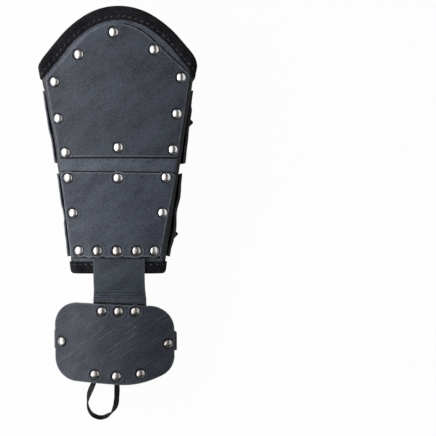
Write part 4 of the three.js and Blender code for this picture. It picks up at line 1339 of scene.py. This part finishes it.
def build_scatter_tree():
    """One shape on every point, turned to the point's own directions, with a little unevenness."""
    tree = bpy.data.node_groups.new("set_shapes", "GeometryNodeTree")
    inputs = {}
    for label, kind in (("Places", "NodeSocketGeometry"), ("Shape", "NodeSocketObject"),
                        ("Dent", NUMBER), ("Dent Scale", NUMBER), ("Finish", "NodeSocketMaterial")):
        inputs[label] = tree.interface.new_socket(label, in_out="INPUT", socket_type=kind).identifier
    tree.interface.new_socket("Mesh", in_out="OUTPUT", socket_type="NodeSocketGeometry")
    given, result = tree.nodes.new("NodeGroupInput"), tree.nodes.new("NodeGroupOutput")
    points = add_node(tree, "GeometryNodeMeshToPoints")
    shape = add_node(tree, "GeometryNodeObjectInfo")
    along = add_node(tree, "GeometryNodeInputNamedAttribute", {"Name": "along"}, data_type="FLOAT_VECTOR")
    up = add_node(tree, "GeometryNodeInputNamedAttribute", {"Name": "up"}, data_type="FLOAT_VECTOR")
    facing = add_node(tree, "FunctionNodeAlignRotationToVector", axis="Z")
    running = add_node(tree, "FunctionNodeAlignRotationToVector", axis="X", pivot_axis="Z")
    setter = add_node(tree, "GeometryNodeInstanceOnPoints")
    real = add_node(tree, "GeometryNodeRealizeInstances")
    shift = add_node(tree, "GeometryNodeSetPosition")
    normal = add_node(tree, "GeometryNodeInputNormal")
    position = add_node(tree, "GeometryNodeInputPosition")
    rough = add_node(tree, "ShaderNodeTexNoise", {"Detail": 1.0})
    paint = add_node(tree, "GeometryNodeSetMaterial")
    smoothed = add_node(tree, "GeometryNodeSetShadeSmooth")
    link = tree.links.new
    link(given.outputs["Places"], points.inputs["Mesh"])
    link(given.outputs["Shape"], shape.inputs["Object"])
    link(up.outputs["Attribute"], facing.inputs["Vector"])
    link(facing.outputs["Rotation"], running.inputs["Rotation"])
    link(along.outputs["Attribute"], running.inputs["Vector"])
    link(points.outputs["Points"], setter.inputs["Points"])
    link(shape.outputs["Geometry"], setter.inputs["Instance"])
    link(running.outputs["Rotation"], setter.inputs["Rotation"])
    link(setter.outputs["Instances"], real.inputs["Geometry"])
    link(position.outputs["Position"], rough.inputs["Vector"])
    link(given.outputs["Dent Scale"], rough.inputs["Scale"])
    amount = calc(tree, "MULTIPLY", calc(tree, "SUBTRACT", rough.outputs["Fac"], 0.5), given.outputs["Dent"])
    offset = add_node(tree, "ShaderNodeVectorMath", operation="SCALE")
    link(normal.outputs["Normal"], offset.inputs[0])
    link(amount, offset.inputs["Scale"])
    link(real.outputs["Geometry"], shift.inputs["Geometry"])
    link(offset.outputs["Vector"], shift.inputs["Offset"])
    link(shift.outputs["Geometry"], smoothed.inputs["Geometry"])
    link(smoothed.outputs["Geometry"], paint.inputs["Geometry"])
    link(given.outputs["Finish"], paint.inputs["Material"])
    link(paint.outputs["Geometry"], result.inputs["Mesh"])
    return tree, inputs


scatter_tree, scatter_inputs = build_scatter_tree()
print("set_shapes:", len(scatter_tree.nodes), "nodes, inputs", list(scatter_inputs))


def set_shapes(name, seats, shape, dent, dent_scale, material):
    piece = places_object(name, seats)
    modifier = piece.modifiers.new("shapes", "NODES")
    modifier.node_group = scatter_tree
    modifier[scatter_inputs["Shape"]] = shape
    modifier[scatter_inputs["Dent"]] = dent * MM
    modifier[scatter_inputs["Dent Scale"]] = dent_scale
    modifier[scatter_inputs["Finish"]] = material
    return applied(piece)


# %% [markdown]
# ## Rivet shape
# A cap rivet is a low dome with a rolled rim, on a post that ends in a washer inside the tube. It is round,
# so a profile turned about its axis gives it. A Screw modifier would turn it too, but writing the rings out
# closes both poles with a single point.

# %% Rivet shape
def turned_shape(name, profile, sides):
    """A closed shape turned about Z from a profile of radius and height, from top to bottom."""
    points = [(0, 0, profile[0][1])]
    for radius, height in profile[1:-1]:
        for k in range(sides):
            angle = 2 * math.pi * k / sides
            points.append((radius * math.cos(angle), radius * math.sin(angle), height))
    points.append((0, 0, profile[-1][1]))
    faces = [(0, 1 + k, 1 + (k + 1) % sides) for k in range(sides)]
    for ring in range(len(profile) - 3):
        low, high = 1 + ring * sides, 1 + (ring + 1) * sides
        faces += [(low + k, high + k, high + (k + 1) % sides, low + (k + 1) % sides) for k in range(sides)]
    last = 1 + (len(profile) - 3) * sides
    faces += [(last + (k + 1) % sides, last + k, len(points) - 1) for k in range(sides)]
    return new_piece(name, points, faces)


DOME_RADIUS, DOME_HEIGHT, DOME_REACH, DOME_RINGS = 6.6, 1.95, 4.1, 7
POST_RADIUS, RIVET_SIDES = 1.5, 28
SHORT_GRIP = PLATE_THICK + CLEARANCE + BODY_THICK
STRAP_GRIP = 8.3
HAND_GRIP = PLATE_THICK + (STRAP_THICK + CLEARANCE)


def rivet_profile(grip):
    """Dome, rolled rim, post and the washer inside, as radius and height from the leather's face."""
    dome = [(0, DOME_HEIGHT)]
    for k in range(1, DOME_RINGS + 1):
        radius = DOME_REACH * k / DOME_RINGS
        dome.append((radius, DOME_HEIGHT - DOME_RADIUS + math.sqrt(DOME_RADIUS ** 2 - radius ** 2)))
    dome += [(4.26, 0.25), (CAP_RADIUS, -0.05), (4.2, -0.35), (POST_RADIUS, -0.4)]
    inside = -grip - CLEARANCE
    washer = [(3.2, inside), (3.4, inside - 0.3), (2.4, inside - 0.75), (0, inside - 0.8)]
    return dome + [(POST_RADIUS, inside)] + washer


def rivet_with(name, grip):
    return turned_shape(name, rivet_profile(grip), RIVET_SIDES)


rivet_shape = rivet_with("rivet_shape", SHORT_GRIP)
long_rivet_shape = rivet_with("long_rivet_shape", STRAP_GRIP)
hand_rivet_shape = rivet_with("hand_rivet_shape", HAND_GRIP)
print("rivet:", len(rivet_shape.data.polygons), "faces")

# %% [markdown]
# ## Rivets on the front
# The front rivets differ only in how much leather they hold, so there are three lengths of post. No two
# were set alike: each cap leans a little its own way, which moves its highlight. Turning them one by one
# would do for a few, but a smooth noise does it for all, with a short list for those whose lean shows.

# %% Rivets
ACROSS = Vector((1, 0, 0))
STRAP_LEANS = [(0.12, -0.02), (0.05, 0.0), (0.13, -0.04)]
HAND_LEANS = [(0.14, -0.2), (0.1, -0.12), (0.04, -0.16), (0.0, 0.04), (-0.1, -0.22), (0.14, -0.22),
              (0.04, -0.06), (0.12, -0.16)]


def with_direction(seats, leans=()):
    """Each cap leans a few degrees its own way, as hand-set rivets do."""
    leaning = []
    for index, (place, up) in enumerate(seats):
        lean = 0.12 * noise.noise_vector(place * 0.37)
        if index < len(leans):
            lean += Vector(leans[index] + (0.0,))
        leaning.append((place, ACROSS, (up + lean).normalized()))
    return leaning


DENT_SCALE = 260.0
FRONT_RIVETS = [
    ("upper_rivets", rivet_seats[:10], (), rivet_shape, 0.16, nickel, "upper_rivet", range(1, 11)),
    ("lower_rivets", rivet_seats[10:16] + rivet_seats[19:20], (), rivet_shape, 0.18, nickel, "lower_rivet",
     (1, 2, 3, 4, 5, 6, 10)),
    ("strap_rivets", rivet_seats[16:19], STRAP_LEANS, long_rivet_shape, 0.18, worn_nickel, "lower_rivet",
     (7, 8, 9)),
    ("hand_rivets", rivet_seats[20:], HAND_LEANS, hand_rivet_shape, 0.18, worn_nickel, "hand_rivet",
     range(1, 9)),
]
for name, seats, leans, shape, dent, metal, node, numbers in FRONT_RIVETS:
    rivets = set_shapes(name, with_direction(seats, leans), shape, dent, DENT_SCALE, metal)
    finish(rivets, [f"{node}_{number}" for number in numbers], "nickel", metal)

# %% [markdown]
# ## Side rivets
# Two rivets hold each side plate, one through the plate alone and one over the strap or the tab. Their
# seats come from the wall's own surface, so they follow when a plate stands further off.

# %% Side rivets
RIVET_DEPTH = 0.7
SIDE_GRIP = 2.6 + PLATE_THICK + BODY_THICK
side_seats, side_names = [], []
for plate in SIDE_PLATES:
    for side_name, side in SIDES:
        for number, y in enumerate((plate["rivet_y"], plate["strap_y"]), 1):
            depth = RIVET_DEPTH * tube_section(y)["wall"]
            lift = side_stand(plate, side_name, depth, y) + PLATE_THICK
            side_seats.append(seat(lambda a, b, h: on_wall(side, a, b, lift + h), depth, y))
            side_names.append(f"side_rivet_{plate['level']}_{side_name}_{number}")
side_shape = rivet_with("side_shape", SIDE_GRIP)
side_rivets = set_shapes("side_rivets", with_direction(side_seats), side_shape, 0.3, DENT_SCALE, nickel)
finish(side_rivets, side_names, "nickel", nickel)

# %% [markdown]
# ## Stitches
# One stitch is a bead of thread, thick in the middle, which dips into the suede at both ends. A curve with
# a round bevel would do, but it has many more faces. The bead has a few dozen, because it repeats so often.

# %% Stitches
def stitch_shape():
    """A short bead of thread, thin at both ends, which dips into the suede."""
    rings = [(-1.65, 0.16, -0.45), (-1.2, 0.38, -0.1), (-0.5, 0.46, 0.12), (0.5, 0.46, 0.12),
             (1.2, 0.38, -0.1), (1.65, 0.16, -0.45)]
    sides = 6
    points = []
    for x, radius, height in rings:
        for k in range(sides):
            angle = math.pi * k / 3
            points.append((x, radius * math.cos(angle), height + radius * math.sin(angle)))
    last = len(points) - sides
    faces = [tuple(range(sides - 1, -1, -1)), tuple(range(last, last + sides))]
    for low in range(0, last, sides):
        high = low + sides
        for k in range(sides):
            ahead = (k + 1) % sides
            faces.append((low + k, low + ahead, high + ahead, high + k))
    return new_piece("stitch_shape", points, faces)


bead = stitch_shape()
for name, stitches in (("top_stitches", top_stitches), ("wrist_stitches", wrist_stitches)):
    rows = set_shapes(name, stitches, bead, 0.25, 900.0, thread)
    finish(rows, [], "black_suede", thread)
for shape in (rivet_shape, long_rivet_shape, hand_rivet_shape, side_shape, bead):
    bpy.data.objects.remove(shape)

# %% [markdown]
# ## Buckles
# The buckles are under the bracer and stay plain: a frame of round wire with a tooth, and a leather tab that
# hugs the right wall and loops round one side of the frame.

# %% Buckles and tabs
WIRE, WIRE_BEND, BAR_HEIGHT, PIVOT_HEIGHT = 0.9, 1.2, 1.3, 8.6
TAB_WIDTH, TAB_SEAT, TAB_RADIUS = 12.0, 5.2, 2.8


def buckle_points(closure):
    section = tube_section(closure["y"])
    reach = section["back"] + TAB_SEAT
    turn = math.acos((BACK_HEIGHT + section["back"] - PIVOT_HEIGHT) / reach)
    pivot = section["centre"] + section["flat_end"] + reach * math.sin(turn)
    share = (math.pi / 2 - WALL_LEAN - turn) / (math.pi / 2 - WALL_LEAN)
    return closure_start(closure) + RISE_BAR, pivot, BACK_COLUMN + share * 4


def wire_loop(name, path, radius, sides):
    points, faces = [], []
    count = len(path)
    for k, spot in enumerate(path):
        way = (path[(k + 1) % count] - path[k - 1]).normalized()
        side = way.cross(Vector((0.3, 0.1, 1))).normalized()
        up = side.cross(way)
        for s in range(sides):
            angle = 2 * math.pi * s / sides
            points.append(spot + side * radius * math.cos(angle) + up * radius * math.sin(angle))
    for k in range(count):
        low, high = k * sides, ((k + 1) % count) * sides
        faces += [(low + s, low + (s + 1) % sides, high + (s + 1) % sides, high + s) for s in range(sides)]
    return new_piece(name, points, faces)


def make_buckle(closure):
    bar, pivot, _ = buckle_points(closure)
    slope = math.atan2(PIVOT_HEIGHT - BAR_HEIGHT, pivot - bar)
    length = math.hypot(pivot - bar, PIVOT_HEIGHT - BAR_HEIGHT)
    half = CLOSURE_WIDTH / 2 + 0.7 + WIRE
    corners = [(x, y, WIRE_BEND) for x, y in ((0, -half), (length, -half), (length, half), (0, half))]
    flat = rounded_outline(corners, 72)
    path = []
    for p in flat:
        x, z = bar + p.x * math.cos(slope), BAR_HEIGHT + p.x * math.sin(slope)
        path.append(Vector((x, closure["y"] + p.y, z)))
    name = f"buckle_{closure['level']}"
    piece = wire_loop(name, path, WIRE, 10)
    tooth = turned_shape("tooth", [(0, 4.1), (0.35, 4.0), (0.7, 3.4), (0.8, 0.2), (0, 0)], 10)
    tooth.data.transform(Matrix.Translation(Vector((bar, closure["y"], BAR_HEIGHT)) * MM))
    joined = bmesh.new()
    joined.from_mesh(piece.data)
    joined.from_mesh(tooth.data)
    bmesh.ops.recalc_face_normals(joined, faces=joined.faces)
    joined.to_mesh(piece.data)
    joined.free()
    bpy.data.objects.remove(tooth)
    piece.data.shade_smooth()
    finish(piece, [name], "nickel", nickel)


def make_tab(closure):
    _, pivot, column = buckle_points(closure)
    stations = spread(ANCHOR_COLUMN, column, 26)
    ring = [math.radians(a) for a in range(0, 300, 15)]

    def place(across, station):
        y = closure["y"] + (across - 0.5) * TAB_WIDTH
        if station < len(stations):
            return on_column(stations[station], y, CLEARANCE + STRAP_THICK / 2)
        end = on_column(stations[-1], closure["y"], CLEARANCE + STRAP_THICK / 2)
        spoke = math.atan2(end.z - PIVOT_HEIGHT, end.x - pivot) - ring[station - len(stations)]
        return Vector((pivot + TAB_RADIUS * math.cos(spoke), y, PIVOT_HEIGHT + TAB_RADIUS * math.sin(spoke)))

    name = f"buckle_tab_{closure['level']}"
    piece = grid_piece(name, spread(0, 1, 8), range(len(stations) + len(ring)), place)
    thicken(piece, STRAP_THICK - 0.2, 0.3, 0.0)
    finish(piece, [name], "black_leather", black_leather, black_edge)


for closure in CLOSURES:
    make_buckle(closure)
    make_tab(closure)

# %% [markdown]
# ## Floor, light and camera
# The photograph looks straight down on a white table. A large soft light stands on the left and reaches over
# the top, a smaller one stands on the right, and the dark gap between the two shows as a band on each rivet.

# %% Floor
floor_mesh = bpy.data.meshes.new("floor")
floor_mesh.from_pydata([(-3, -3, 0), (3, -3, 0), (3, 3, 0), (-3, 3, 0)], [], [(0, 1, 2, 3)])
floor = bpy.data.objects.new("floor", floor_mesh)
bpy.context.scene.collection.objects.link(floor)


def make_floor_paint():
    """Pale, and almost white to the eye, as a table that is lit from below."""
    material, tree, shader = start_material("floor_white", Roughness=0.9, Specular_IOR_Level=0.1)
    shader.inputs["Base Color"].default_value = (0.55, 0.55, 0.55, 1)
    glow = add_node(tree, "ShaderNodeEmission", {"Color": (1, 1, 1, 1), "Strength": 1.0})
    seen = add_node(tree, "ShaderNodeLightPath").outputs["Is Camera Ray"]
    blend = add_node(tree, "ShaderNodeMixShader")
    tree.links.new(calc(tree, "MULTIPLY", seen, 0.97), blend.inputs["Fac"])
    tree.links.new(shader.outputs["BSDF"], blend.inputs[1])
    tree.links.new(glow.outputs["Emission"], blend.inputs[2])
    tree.links.new(blend.outputs["Shader"], tree.nodes["Material Output"].inputs["Surface"])
    return material


floor_mesh.materials.append(make_floor_paint())
print("floor:", len(floor_mesh.polygons), "face, lit and glowing")

# %% [markdown]
# ## Lights
# The caps show how the object was lit: a broad pale patch on the left, a dark band, and a narrow pale patch
# on the right. So softboxes stand on the left and overhead, and a card on the right shows only in
# reflections. A picture of a studio would light it too, but a few plain lights are easier to move.

# %% Lights
FAR_END = 1.8
WHITE = (1, 1, 1, 1)


def soft_light(name, angle, distance, near_end, breadth, radiance):
    """A softbox along Y from near_end to FAR_END, angle degrees from overhead towards +X."""
    tilt = math.radians(angle)
    place = Vector((distance * math.sin(tilt), 0.0, distance * math.cos(tilt)))
    length = FAR_END - near_end
    data = bpy.data.lights.new(name, "AREA")
    data.shape = "RECTANGLE"
    data.size = length
    data.size_y = breadth
    data.energy = radiance * math.pi * length * breadth
    light = bpy.data.objects.new(name, data)
    light.rotation_euler = (-place).to_track_quat("-Z", "Y").to_euler()
    light.location = place + Vector((0.0, (FAR_END + near_end) / 2, 0.0))
    bpy.context.scene.collection.objects.link(light)
    return light


soft_light("left_softbox", -49, 1.5, -1.5, 1.04, 3.45)
soft_light("top_softbox", -16, 1.9, -1.3, 1.02, 1.2)
right_card = soft_light("right_card", 58, 1.2, -0.8, 0.74, 1.0)
right_card.visible_diffuse = False


def studio_world():
    """Pale to the left, dark to the right, and white where the camera sees it."""
    world = bpy.data.worlds.new("studio")
    world.use_nodes = True
    tree = world.node_tree
    way = add_node(tree, "ShaderNodeTexCoord").outputs["Generated"]
    axes = add_node(tree, "ShaderNodeSeparateXYZ")
    tree.links.new(way, axes.inputs[0])
    low = ranged(tree, axes.outputs["Z"], 0.0, 0.6, 0.5, 0.0)
    left = calc(tree, "MULTIPLY", low, ranged(tree, axes.outputs["X"], -0.9, 0.3, 1.0, 0.0))
    left = calc(tree, "MULTIPLY", left, ranged(tree, axes.outputs["Y"], -0.7, 0.0))
    overhead = ranged(tree, axes.outputs["Z"], 0.3, 0.9, 0.03, 0.14)
    studio = calc(tree, "ADD", left, overhead)
    seen = add_node(tree, "ShaderNodeLightPath").outputs["Is Camera Ray"]
    background = tree.nodes["Background"]
    warm = ranged(tree, axes.outputs["Z"], 0.3, 0.9)
    room = mixed(tree, warm, WHITE, (1, 0.9, 0.86, 1))
    tree.links.new(mixed(tree, seen, room, WHITE), background.inputs["Color"])
    tree.links.new(calc(tree, "MAXIMUM", studio, seen), background.inputs["Strength"])
    return world


bpy.context.scene.world = studio_world()
bpy.context.scene.view_settings.view_transform = "Standard"
print("lights:", [light.name for light in bpy.data.lights])

# %% [markdown]
# ## Camera
# The camera looks straight down from a metre above the table. Its lens comes from a focal length in pixels,
# so that the frame keeps its scale. It stands beside the bracer, because the picture's middle is there, and
# a shift of the lens would show the sides wrongly.

# %% Camera
FRAME_PIXELS, FOCAL_PIXELS = 436, 1022.0
camera_data = bpy.data.cameras.new("camera")
camera_data.sensor_width = 36.0
camera_data.lens = FOCAL_PIXELS / FRAME_PIXELS * camera_data.sensor_width
camera = bpy.data.objects.new("camera", camera_data)
camera.location = (0.0915, 0.00215, 1.0)
bpy.context.scene.collection.objects.link(camera)
bpy.context.scene.camera = camera
print("camera:", round(camera_data.lens, 1), "mm lens,", camera.location.z, "m up")
